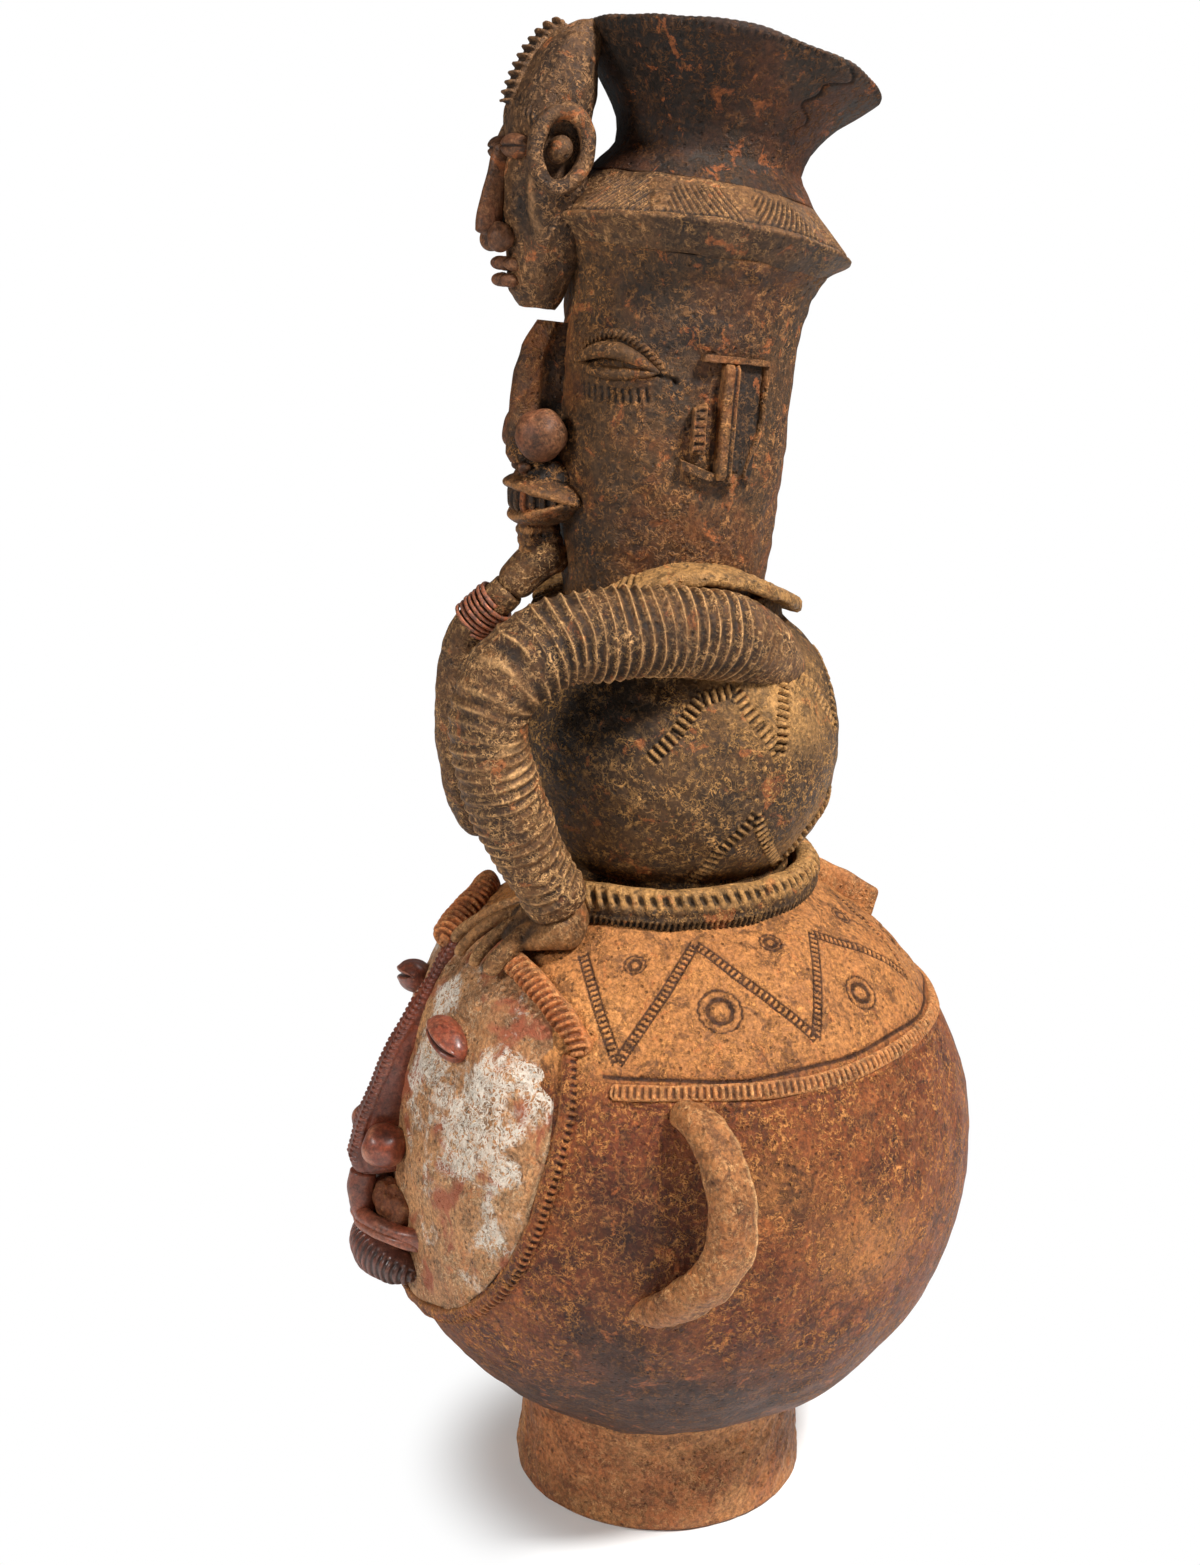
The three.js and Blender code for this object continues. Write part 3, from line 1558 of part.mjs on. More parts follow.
placePairOnHead('head_lower_lid', 'head', headLowerLids());
placePairOnHead('head_brow', 'head', headBrows());
placeOnHead('head_upper_lip', 'head', headUpperLip());
placeOnHead('head_lower_lip', 'head', headLowerLip());
placePairOnHead('head_ear_frame', 'head', headEarFrames());
placePairOnHead('head_ear_block', 'head', headEarBlocks());
place('small_head', 'head', smallHead());
placeOnHead('hair_crest', 'head', hairCrest());
placeOnHead('small_nose', 'slip', maskNose());
placePairOnHead('small_nostril', 'slip', maskNostrils());
placePairOnHead('small_eye', 'slip', maskEyes());
placeOnHead('small_lips', 'slip', maskLips());
placePairOnHead('ring_ear', 'head', ringEars());
placePairOnHead('ear_plug', 'slip', earPlugs());

// The origin is under the middle of the whole vessel, on the floor
const bounds = new THREE.Box3().setFromObject(vessel);
vessel.position.y = -(bounds.min.y + bounds.max.y) / 2;

export default vessel;
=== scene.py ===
# Anthropomorphic vessel of fired clay. Everything is in metres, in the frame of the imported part;
# the sizes in each section are millimetres from the middle of the foot, +Z up.
import math
import bmesh
import bpy
import numpy as np
from mathutils import Matrix, Vector


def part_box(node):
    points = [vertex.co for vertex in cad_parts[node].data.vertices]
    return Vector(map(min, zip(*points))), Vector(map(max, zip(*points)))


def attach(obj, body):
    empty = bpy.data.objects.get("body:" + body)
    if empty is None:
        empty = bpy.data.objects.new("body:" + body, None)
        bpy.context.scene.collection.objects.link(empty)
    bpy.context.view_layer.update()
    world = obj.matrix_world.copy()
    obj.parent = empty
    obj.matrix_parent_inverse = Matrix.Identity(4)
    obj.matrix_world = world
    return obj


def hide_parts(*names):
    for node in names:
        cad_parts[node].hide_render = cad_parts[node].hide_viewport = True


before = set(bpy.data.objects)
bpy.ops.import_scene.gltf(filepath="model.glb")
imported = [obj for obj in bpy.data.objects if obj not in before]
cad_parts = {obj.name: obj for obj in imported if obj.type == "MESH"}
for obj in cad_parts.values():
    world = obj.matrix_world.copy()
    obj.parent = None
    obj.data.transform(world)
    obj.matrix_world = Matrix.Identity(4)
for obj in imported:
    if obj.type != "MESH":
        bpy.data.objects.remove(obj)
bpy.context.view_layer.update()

# View, light and floor
# The vessel stands on a plain pale floor in soft studio light. It is seen from its left front,
# 15 degrees down, with the key light high on the viewer's right and a weaker one on the left.
foot_low, foot_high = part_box("foot_ring")
foot_y = (foot_low.y + foot_high.y) / 2
view_turn = math.radians(75)
view_tilt = math.radians(15)
eye_distance = 1.102
eye_height = 0.715
eye_shift = 0.035
photo_focal_length = 2050
photo_height = 1565
sensor_width = 36
view_right = Vector((math.cos(view_turn), math.sin(view_turn), 0))
view_ahead = Vector((
    -math.sin(view_turn) * math.cos(view_tilt),
    math.cos(view_turn) * math.cos(view_tilt),
    -math.sin(view_tilt),
))
view_up = view_right.cross(view_ahead)
toward_view = Vector((math.sin(view_turn), -math.cos(view_turn), 0))
eye = toward_view * eye_distance + Vector((0, foot_y, eye_height)) - view_right * eye_shift
camera_data = bpy.data.cameras.new("camera")
camera_data.sensor_width = sensor_width
camera_data.lens = photo_focal_length * sensor_width / photo_height
camera_data.clip_start = 0.05
camera = bpy.data.objects.new("camera", camera_data)
camera.matrix_world = Matrix([
    (right, up, -ahead, place) for right, up, ahead, place in zip(view_right, view_up, view_ahead, eye)
] + [(0, 0, 0, 1)])
bpy.context.scene.collection.objects.link(camera)
bpy.context.scene.camera = camera
bpy.context.scene.view_settings.view_transform = "Standard"


def area_light(name, place, size, power):
    data = bpy.data.lights.new(name, "AREA")
    data.shape = "DISK"
    data.size = size
    data.energy = power
    lamp = bpy.data.objects.new(name, data)
    lamp.location = place
    vessel_middle = Vector((0, 0, 0.42))
    lamp.rotation_euler = (vessel_middle - lamp.location).to_track_quat("-Z", "Y").to_euler()
    bpy.context.scene.collection.objects.link(lamp)


area_light("key_light", toward_view * 0.95 + view_right * 1.15 + Vector((0, 0, 2.2)), 0.4, 98)
area_light("side_light", toward_view * 1.1 - view_right * 1.4 + Vector((0, 0, 1.25)), 0.5, 23)
area_light("back_light", toward_view * -1.2 + view_right * 0.6 + Vector((0, 0, 1.8)), 1.0, 10)


def empty_tree(owner):
    owner.use_nodes = True
    owner.node_tree.nodes.clear()
    return owner.node_tree


# Shader node with its inputs given by name or number, each a value or another node's output
def new_node(tree, kind, inputs=None, **settings):
    made = tree.nodes.new(kind)
    for key, value in settings.items():
        setattr(made, key, value)
    for key, value in (inputs or {}).items():
        if isinstance(value, bpy.types.NodeSocket):
            tree.links.new(value, made.inputs[key])
        else:
            made.inputs[key].default_value = value
    return made


def calc(tree, operation, *values):
    return new_node(tree, "ShaderNodeMath", dict(enumerate(values)), operation=operation).outputs[0]


def ramp(tree, value, low, high, bottom=0.0, top=1.0):
    sockets = {"Value": value, "From Min": low, "From Max": high, "To Min": bottom, "To Max": top}
    made = new_node(tree, "ShaderNodeMapRange", sockets, interpolation_type="SMOOTHSTEP")
    return made.outputs["Result"]


world = bpy.data.worlds.new("studio")
bpy.context.scene.world = world
studio = empty_tree(world)
studio_light = new_node(studio, "ShaderNodeBackground", {"Color": (1, 0.98, 0.95, 1), "Strength": 0.1})
studio_seen = new_node(studio, "ShaderNodeBackground", {"Color": (1, 1, 1, 1)})
studio_mix = new_node(studio, "ShaderNodeMixShader", {
    0: new_node(studio, "ShaderNodeLightPath").outputs["Is Camera Ray"],
    1: studio_light.outputs[0],
    2: studio_seen.outputs[0],
})
new_node(studio, "ShaderNodeOutputWorld", {0: studio_mix.outputs[0]})

# The floor shows the vessel's shadow near the foot, and fades into the white round it
floor_mesh = bpy.data.meshes.new("floor")
floor_mesh.from_pydata([(-4, -4, 0), (4, -4, 0), (4, 4, 0), (-4, 4, 0)], [], [(0, 1, 2, 3)])
floor = bpy.data.objects.new("floor", floor_mesh)
bpy.context.scene.collection.objects.link(floor)
floor_material = bpy.data.materials.new("pale_floor")
floor_tree = empty_tree(floor_material)
floor_place = new_node(floor_tree, "ShaderNodeTexCoord").outputs["Object"]
floor_reach = new_node(floor_tree, "ShaderNodeVectorMath", {0: floor_place}, operation="LENGTH")
floor_mix = new_node(floor_tree, "ShaderNodeMixShader", {
    0: calc(floor_tree, "MULTIPLY", ramp(floor_tree, floor_reach.outputs["Value"], 0.085, 0.155),
            new_node(floor_tree, "ShaderNodeLightPath").outputs["Is Camera Ray"]),
    1: new_node(floor_tree, "ShaderNodeBsdfDiffuse", {"Color": (0.93, 0.93, 0.92, 1)}).outputs[0],
    2: new_node(floor_tree, "ShaderNodeEmission", {"Color": (1, 1, 1, 1)}).outputs[0],
})
new_node(floor_tree, "ShaderNodeOutputMaterial", {"Surface": floor_mix.outputs[0]})
floor_mesh.materials.append(floor_material)


# Foot ring
# A low, slightly flared ring of coarse clay that the globe stands on. It was coiled by hand and
# left rough, with pits from burnt-out temper, brown stains and a worn, uneven standing edge.
def smoothstep(low, high, value):
    share = np.clip((value - low) / (high - low), 0, 1)
    return share * share * (3 - 2 * share)


def mixed(first, second, share):
    return first + (second - first) * share


# Gentle unevenness of a surface worked by hand: a sum of waves about one size
def handwork(points, size, seed):
    rng = np.random.default_rng(seed)
    total = np.zeros(points.shape[:-1])
    wave_count = 9
    for _ in range(wave_count):
        way = rng.normal(size=3)
        way *= (2 * math.pi / (size * rng.uniform(0.7, 1.6))) / np.linalg.norm(way)
        total += np.sin(points @ way + rng.uniform(0, 7))
    return total / 3


# Object from a grid of points in millimetres. Columns close on themselves; rows do too on a
# ring, or else get a fan over each end. The relief moves points along the surface's normal. The
# mesh keeps two marks for the material: relief, or worn in its place, is
# lightened where it is high, as wear and painted highlight, and darkened where it is low, partly
# as dirt and partly as painted shade in recesses; smoke blackens with smoke
# and painted shade, and pales where it is negative, partly as painted light.
def mould(name, rows, relief=0.0, ring=False, smoke=0.0, worn=None):
    along = np.roll(rows, -1, 0) - np.roll(rows, 1, 0) if ring else np.gradient(rows, axis=0)
    around = np.roll(rows, -1, 1) - np.roll(rows, 1, 1)
    normal = np.cross(around, along)
    normal /= np.maximum(np.linalg.norm(normal, axis=2, keepdims=True), 1e-9)
    height, width = rows.shape[:2]
    held = slice(None) if ring else slice(1, -1)
    spread = np.einsum("ijk,ijk->", rows[held] - rows.reshape(-1, 3).mean(0), normal[held])
    row, column = np.meshgrid(np.arange(height if ring else height - 1), np.arange(width), indexing="ij")
    right = (column + 1) % width
    above = (row + 1) % height
    corners = [row * width + column, row * width + right, above * width + right, above * width + column]
    faces = np.stack(corners, -1).reshape(-1, 4).tolist()
    if spread < 0:
        normal = -normal
        faces = [face[::-1] for face in faces]
    lift = np.broadcast_to(np.asarray(relief, float), (height, width))
    points = (rows + normal * lift[..., None]).reshape(-1, 3)
    kept = {"relief": lift if worn is None else worn, "smoke": smoke}
    kept = {key: np.broadcast_to(value, (height, width)).reshape(-1) for key, value in kept.items()}
    if not ring:
        total = height * width
        points = np.vstack([points, points[:width].mean(0), points[-width:].mean(0)])
        kept = {key: np.append(value, [value[0], value[-1]]) for key, value in kept.items()}
        for k in range(width):
            low = (k, (k + 1) % width, total)
            high = (total - width + (k + 1) % width, total - width + k, total + 1)
            faces += [low[::-1], high[::-1]] if spread > 0 else [low, high]
    mesh = bpy.data.meshes.new(name)
    mesh.from_pydata((points * 0.001 + np.array([0, foot_y, 0])).tolist(), [], faces)
    mesh.shade_smooth()
    for key, value in kept.items():
        mesh.attributes.new(key, "FLOAT", "POINT").data.foreach_set("value", value)
    made = bpy.data.objects.new(name, mesh)
    bpy.context.scene.collection.objects.link(made)
    return made


# What a piece is made of and which imported node it stands for; the piece hangs from the root body and the node is
# hidden
def dress(piece, material, node):
    piece.data.materials.append(material)
    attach(piece, "root")
    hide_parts(node)


# One piece of clay, cut or raised by hand and left uneven: the height, size and seed of each of
# the waves of its unevenness are given in a list
def clay_piece(name, rows, material, node, slot, cut=0.0, uneven=(), **kept):
    relief = cut
    for height, size, seed in uneven:
        relief = relief + height * handwork(rows, size, seed)
    made = mould(name, rows, relief, **kept)
    dress(made, material, node)
    return made


# Angles once round, evenly spaced; cosine and sine of a rounded square instead of a circle
def full_turn(count, start=0.0):
    return (np.arange(count) + start) / count * 2 * math.pi


def squared(turn, power):
    return [np.sign(value) * np.abs(value) ** power for value in (np.cos(turn), np.sin(turn))]


# Height of a soft mound, by the distance from its middle
def mound(distance, width):
    return np.exp(-(distance / width) ** 2)


# Rows of points round an upright axis, from a profile of radius and height
def turned(profile, columns, y=0.0):
    turn = full_turn(columns)
    reach, level = np.array(profile).T[..., None]
    return np.stack([reach * np.sin(turn), y - reach * np.cos(turn), level + 0 * turn], -1)


# A profile's corners joined by evenly spaced points, a given step apart
def spaced(profile, step):
    points = [profile[0]]
    for start, end in zip(profile[:-1], profile[1:]):
        count = max(1, round(math.dist(start, end) / step))
        shares = np.arange(1, count + 1)[:, None] / count
        points += [tuple(point) for point in mixed(np.array(start), np.array(end), shares)]
    return points


# A colour as it is seen, from 0 to 255, in the linear form that shaders take
def colour(red, green, blue):
    seen = [value / 255 for value in (red, green, blue)]
    return (*[v / 12.92 if v <= 0.04 else ((v + 0.055) / 1.055) ** 2.4 for v in seen], 1)


def blended(tree, share, first, second, mode="MIX"):
    sockets = {0: share, 6: first, 7: second}
    return new_node(tree, "ShaderNodeMix", sockets, data_type="RGBA", blend_type=mode).outputs[2]


def noise(tree, place, scale, detail=3.0, rough=0.55, warp=0.0):
    sockets = {"Vector": place, "Scale": scale, "Detail": detail, "Roughness": rough, "Distortion": warp}
    return new_node(tree, "ShaderNodeTexNoise", sockets).outputs["Fac"]


def shader_group(name, inputs, outputs):
    tree = bpy.data.node_groups.new(name, "ShaderNodeTree")
    for label, kind, value in inputs:
        socket = tree.interface.new_socket(name=label, in_out="INPUT", socket_type=kind)
        socket.default_value = value
    for label, kind in outputs:
        tree.interface.new_socket(name=label, in_out="OUTPUT", socket_type=kind)
    return tree, tree.nodes.new("NodeGroupInput").outputs, tree.nodes.new("NodeGroupOutput").inputs


FLOAT = "NodeSocketFloat"
COLOUR = "NodeSocketColor"

# Fired clay: mottled body, smoke clouds, a crust of fine worm-like flecks, pits left by temper,
# light worn edges that also carry painted highlights, recesses darkened partly by dirt and partly
# as painted shade, and the mesh's smoke mark: smoke and painted shade where it
# is positive, paler clay and painted light where it is negative
clay, clay_in, clay_out = shader_group("fired_clay", [
    ("Body", COLOUR, colour(150, 90, 50)),
    ("Patch", COLOUR, colour(120, 70, 40)),
    ("Flecks", COLOUR, colour(185, 130, 80)),
    ("Smoke", COLOUR, colour(50, 38, 28)),
    ("Patch Amount", FLOAT, 0.5),
    ("Fleck Amount", FLOAT, 0.5),
    ("Smoke Amount", FLOAT, 0.3),
    ("Pit Amount", FLOAT, 0.5),
    ("Wear Amount", FLOAT, 0.8),
    ("Rust", COLOUR, colour(168, 92, 44)),
    ("Rust Amount", FLOAT, 0.45),
    ("Char Amount", FLOAT, 0.55),
], [("Color", COLOUR), ("Roughness", FLOAT), ("Height", FLOAT)])


def clay_times(*values):
    return calc(clay, "MULTIPLY", *values)


def clay_plus(*values):
    return calc(clay, "ADD", *values)


# Thin worms: where a noise crosses its middle
def worms_of(tree, pattern, low, high, top=1.0):
    return ramp(tree, calc(tree, "ABSOLUTE", calc(tree, "SUBTRACT", pattern, 0.5)), low, high, top, 0.0)


place = new_node(clay, "ShaderNodeTexCoord").outputs["Object"]
broad = noise(clay, place, 16.0, 6.0, 0.62, 0.3)
medium = noise(clay, place, 60.0, 5.0, 0.6, 0.4)
grain = noise(clay, place, 420.0, 6.0, 0.75)
patch = ramp(clay, clay_plus(broad, clay_times(medium, 0.4)), 0.62, 0.82)
patch = clay_times(patch, clay_in["Patch Amount"])
long_worms = worms_of(clay, noise(clay, place, 190.0, 2.5, 0.5, 1.1), 0.008, 0.05)
short_worms = worms_of(clay, noise(clay, place, 330.0, 2.0, 0.5, 0.8), 0.006, 0.05)
crust = ramp(clay, noise(clay, place, 42.0, 4.0, 0.65, 0.6), 0.38, 0.62)
crust = calc(clay, "MULTIPLY_ADD", crust, 0.75, 0.25)
broken = ramp(clay, noise(clay, place, 260.0, 1.0, 0.5), 0.36, 0.56)
char = ramp(clay, noise(clay, place, 62.0, 7.0, 0.74, 0.6), 0.52, 0.57)
rust = ramp(clay, noise(clay, place, 70.0, 6.0, 0.7, 0.6), 0.59, 0.62)
cells = new_node(clay, "ShaderNodeTexVoronoi", {"Vector": place, "Scale": 260.0})
cell_chance = new_node(clay, "ShaderNodeSeparateColor", {0: cells.outputs["Color"]}).outputs[0]
dots = ramp(clay, cells.outputs["Distance"], 0.12, 0.3, 1.0, 0.0)
pits = clay_times(clay_times(dots, ramp(clay, cell_chance, 0.62, 0.7)), clay_in["Pit Amount"])
# Mark of the mesh: smoke and painted shade blacken where it is positive; paler clay and painted light where it is
# negative
smoked = new_node(clay, "ShaderNodeAttribute", attribute_name="smoke").outputs["Fac"]
cloud = ramp(clay, noise(clay, place, 11.0, 6.0, 0.62, 0.7), 0.47, 0.66)
flecks = clay_times(calc(clay, "MAXIMUM", long_worms, short_worms), broken)
flecks = clay_times(flecks, clay_times(crust, clay_in["Fleck Amount"]))
flecks = clay_times(flecks, ramp(clay, smoked, 0.1, 1.2, 1.0, 0.3))
pale = clay_times(calc(clay, "MAXIMUM", clay_times(smoked, -1.0), 0.0), clay_plus(medium, 0.35))
blackened = clay_times(calc(clay, "MAXIMUM", smoked, 0.0), clay_plus(clay_times(medium, 1.2), 0.25))
soot_and_painted_shade = calc(clay, "MINIMUM", clay_plus(clay_times(cloud, clay_in["Smoke Amount"]), blackened), 0.92)
relief = new_node(clay, "ShaderNodeAttribute", attribute_name="relief").outputs["Fac"]
sharp = new_node(clay, "ShaderNodeNewGeometry").outputs["Pointiness"]
# Edges lightened as wear, and as painted highlights where the mesh's wear mark holds them
worn_edge = calc(clay, "MAXIMUM", ramp(clay, relief, 0.15, 1.0), ramp(clay, sharp, 0.53, 0.62))
wear = clay_times(clay_in["Wear Amount"], ramp(clay, medium, 0.25, 0.6, 0.45, 1.0))
worn_edge = clay_times(worn_edge, wear)
# Recesses and grooves darkened: partly dirt, partly painted shade
recess_dirt_and_shade = calc(clay, "MAXIMUM", ramp(clay, relief, -0.1, -0.9), ramp(clay, sharp, 0.475, 0.38))
tint = blended(clay, patch, clay_in["Body"], clay_in["Patch"])
for share, over in (
    (soot_and_painted_shade, "Smoke"), (pale, "Flecks"), (clay_times(rust, clay_in["Rust Amount"]), "Rust"),
    (clay_times(char, clay_in["Char Amount"]), "Smoke"), (flecks, "Flecks"),
    (clay_times(pits, 0.8), "Smoke"), (clay_times(recess_dirt_and_shade, 0.85), "Smoke"), (clay_times(worn_edge, 0.8), "Flecks"),
):
    tint = blended(clay, share, tint, clay_in[over])
brightness = ramp(clay, grain, 0.33, 0.67, 0.5, 1.45)
tint = new_node(clay, "ShaderNodeHueSaturation", {"Value": brightness, "Color": tint})
clay.links.new(tint.outputs[0], clay_out["Color"])
clay.links.new(ramp(clay, clay_plus(flecks, medium), 0.3, 1.3, 0.5, 0.9), clay_out["Roughness"])
rise = clay_plus(clay_times(flecks, 0.9), clay_times(grain, 0.5))
rise = clay_plus(rise, clay_times(medium, 1.1))
clay.links.new(calc(clay, "SUBTRACT", rise, clay_times(pits, 1.0)), clay_out["Height"])


# Material of fired clay: body, patch, fleck and smoke colours, the smoke colour also being that
# of painted shade, and how much there is of patches, flecks, smoke and pits. What more is given
# are further inputs of the group, by name.
def clay_material(name, body, patches, specks, dark, amounts, bump=0.002, **more):
    made = bpy.data.materials.new(name)
    tree = empty_tree(made)
    skin = new_node(tree, "ShaderNodeGroup", node_tree=clay)
    for key, seen in zip(("Body", "Patch", "Flecks", "Smoke"), (body, patches, specks, dark)):
        skin.inputs[key].default_value = colour(*seen)
    for key, amount in zip(("Patch", "Fleck", "Smoke", "Pit"), amounts):
        skin.inputs[f"{key} Amount"].default_value = amount
    for key, value in more.items():
        skin.inputs[key.replace("_", " ")].default_value = value
    dent = new_node(tree, "ShaderNodeBump", {
        "Height": skin.outputs["Height"], "Distance": bump, "Strength": 0.8,
    })
    shader = new_node(tree, "ShaderNodeBsdfPrincipled", {
        "Base Color": skin.outputs["Color"],
        "Roughness": skin.outputs["Roughness"],
        "Normal": dent.outputs["Normal"],
        "Specular IOR Level": 0.25,
    })
    new_node(tree, "ShaderNodeOutputMaterial", {"Surface": shader.outputs[0]})
    return made


foot_rows = turned(spaced([
    (71, 30), (72, 3), (75, 0.4), (82.5, 0), (84.6, 2.2), (84.2, 12), (82, 32), (81, 50), (82.8, 60), (84.5, 64.5),
    (70, 64), (68, 45), (71, 30),
], 1.6)[:-1], 260)
foot_flaw = 0.9 * handwork(foot_rows, 34, 1) + 0.45 * handwork(foot_rows, 9, 2)
foot_flaw *= smoothstep(-0.5, 7, foot_rows[..., 2])
foot_clay = clay_material(
    "foot_clay", (168, 112, 66), (140, 78, 42), (205, 155, 105), (88, 50, 28),
    amounts=(0.8, 0.45, 0.5, 0.8),
)
dress(mould("foot", foot_rows, foot_flaw, ring=True, worn=0.0), foot_clay, "foot_ring")


# Globe
# The belly: a large globe built up by hand, flattened in front where the face is bedded. The
# shoulder is pressed with zigzag strips of notches and ring stamps, under a dark incised line;
# the lower left is smoother and burnt red, the right side is crusted.
globe_radius = 173.0
globe_half_height = 170.0
globe_middle = np.array([0.0, 3.6, 212.2])
globe_wall = 10.0
globe_columns = 960
face_half_width = 130.0
face_half_height = 105.0
face_middle = 245.2


# Point on a round pot: turned from its front to its left, and climbed from its middle, in degrees
def on_pot(middle, radius, half_height, azimuth, elevation):
    turn = np.radians(azimuth)
    climb = np.radians(elevation)
    reach = radius * np.cos(climb)
    point = [reach * np.sin(turn), -reach * np.cos(turn), half_height * np.sin(climb)]
    return np.stack(np.broadcast_arrays(*point), -1) + middle


def on_globe(azimuth, elevation, out=0.0):
    return on_pot(globe_middle, globe_radius + out, globe_half_height + out, azimuth, elevation)


def face_inside(x, z):
    return np.maximum(0, 1 - (np.abs(x) / face_half_width) ** 2.2
                      - (np.abs(z - face_middle) / face_half_height) ** 2.2)


# How far the face is pushed into the globe
def face_dent(x, z):
    heights = [150, 195, 212, 248, 265, 286, 305, 324, 345]
    depths = [18.4, 18, 16, 14.6, 14, 12.8, 8.8, 4.4, 1.5]
    return np.interp(z, heights, depths) * face_inside(x, z) ** 0.7


def globe_front(x, z):
    level = (z - globe_middle[2]) / globe_half_height
    return globe_middle[1] - np.sqrt(np.maximum(0, globe_radius ** 2 * (1 - level ** 2) - x ** 2))


# Marks cut side by side: 1 in the middle of a mark, 0 between marks
def marks(length, pitch, width):
    return smoothstep(width, width * 0.35, np.abs((length / pitch) % 1 - 0.5) * 2)


# Strip of notches between two incised lines, along a path pressed into a surface
def strip(points, path, centre, half_width, pitch, depth, drawn=0.85, raised=0.35):
    cut = np.zeros(points.shape[:-1])
    rungs = np.zeros(points.shape[:-1])
    for start, end in zip(path[:-1], path[1:]):
        way = end - start
        length = np.linalg.norm(way)
        way = way / length
        out = mixed(start, end, 0.5) - centre
        side = np.cross(way, out / np.linalg.norm(out))
        near = points - start
        along = near @ way
        across = near @ side
        held = smoothstep(-1.5, 0.5, along) * smoothstep(length + 1.5, length - 0.5, along)
        held *= (near @ out > -0.7 * np.linalg.norm(out) * length)
        lines = mound(np.abs(across) - half_width, 0.62) * drawn
        inner = smoothstep(half_width, half_width - 0.9, np.abs(across))
        rungs = np.maximum(rungs, held * inner)
        cut = np.maximum(cut, held * np.maximum(lines, inner * marks(along, pitch, 0.62)))
    return raised * depth * rungs * (1 - cut) - depth * cut


# Ring stamp: a raised disc in two rings
def stamp(points, centre, inner, outer, depth):
    reach = np.linalg.norm(points - centre, axis=-1)
    wobble = reach + 0.35 * np.sin(3 * points[..., 0] + points[..., 2])
    rings = mound(wobble - outer, 0.75) + mound(wobble - inner, 0.8)
    bowl = 0.5 * smoothstep(outer, inner, reach) * (reach > inner * 0.55)
    disc = 0.9 * smoothstep(inner * 0.62, inner * 0.45, reach)
    return depth * (disc - rings - bowl)


# The stronger of two marks at each point
def stronger(first, second):
    return np.where(np.abs(second) > np.abs(first), second, first)


# Smoke of the fire, painted shade and painted light: spots on a surface, each with its place, size and strength; a
# negative strength pales
def smoke_spots(rows, surface, spots):
    smoke = np.zeros(rows.shape[:2])
    for across, up, size, strength in spots:
        smoke += strength * mound(np.linalg.norm(rows - surface(across, up), axis=-1), size)
    return smoke


climbs = np.radians(np.concatenate([
    np.linspace(-84, 24, 84), np.linspace(24.4, 63, 122), np.linspace(63.6, 68.3, 7),
]))
climb_map = np.degrees(climbs)[:, None]
turns = np.arange(globe_columns) / globe_columns * 360
outer = on_globe(turns[None, :], climb_map)
neck = turned([(64, 372), (64, 376), (51, 376), (50, 370)], globe_columns, globe_middle[1])
inner = on_globe(turns[None, :], climb_map[-8::-14], -globe_wall)
globe_rows = np.concatenate([outer, neck, inner])
in_front = globe_rows[..., 1] < globe_middle[1]
seat = face_dent(globe_rows[..., 0], globe_rows[..., 2])
seat += 3.5 * face_inside(globe_rows[..., 0], globe_rows[..., 2]) ** 0.4
globe_rows[..., 1] += np.where(in_front, seat, 0)
zigzag_left = [
    (46.8, 54.4), (57.1, 43.4), (62.8, 35), (72.4, 47.9), (82, 58.1), (92.9, 50.2), (106.8, 37),
    (113, 44.6), (125.5, 55.5), (139.4, 48.5), (149.4, 38.3), (160, 50), (167, 56), (180, 40),
]
stamps_left = [
    (63.5, 53.6, 3.0, 5.6), (85.7, 44.3, 6.6, 11.6), (107.7, 56.5, 3.2, 6.0), (127, 42, 5.4, 9.8),
    (149, 55, 3.2, 6.0), (167, 43, 5.4, 9.8),
]
skin = globe_rows[:len(outer)]
globe_cut = np.zeros(globe_rows.shape[:2])
skin_cut = globe_cut[:len(outer)]
for side in (1, -1):
    zigzag = [on_globe(side * azimuth, elevation) for azimuth, elevation in zigzag_left]
    skin_cut[:] = stronger(skin_cut, strip(skin, zigzag, globe_middle, half_width=2.5, pitch=3.2, depth=1.5))
    for azimuth, elevation, small, large in stamps_left:
        ringed = stamp(skin, on_globe(side * azimuth, elevation), small, large, 1.0)
        hit = np.abs(ringed) > 0.02
        skin_cut[hit] = ringed[hit]
turn_map = (turns[None, :] + 180) % 360 - 180
beside_face = np.abs(turn_map) > 60
wander = climb_map + 0.35 * np.sin(np.radians(turn_map * 5)) + 0.2 * np.sin(np.radians(turn_map * 13 + 40))
for level, depth, width in ((32.4, 1.1, 0.42), (27.4, 0.5, 0.3)):
    skin_cut[:] = np.minimum(skin_cut, -depth * mound(wander - level, width) * beside_face)
skin_cut += 0.35 * mound(wander - 28.2, 0.35) * beside_face
globe_flaw = 0.9 * handwork(globe_rows, 70, 3) + 0.28 * handwork(globe_rows, 16, 4)
# Smoke stains with painted light and shade among them: the large spots low on the left are partly smoke and partly
# painted shade under the belly, the two just left of the near handle are its painted shadow, and the pale spots
# right of that handle are painted light
globe_smoke = smoke_spots(globe_rows, on_globe, (
    (47, -50, 60, 1.5), (72, -38, 54, 1.0), (66, 6, 26, 0.9), (63, -16, 24, 0.9), (96, -40, 60, 0.6),
    (122, 12, 30, 0.25), (34, 64, 18, 0.5), (118, -30, 50, 0.3), (228, -12, 60, 0.45), (260, 20, 46, 0.35),
    (300, -35, 50, 0.5), (112, -2, 34, -0.5), (92, 12, 20, -0.3), (52, 40, 22, -0.5),
))
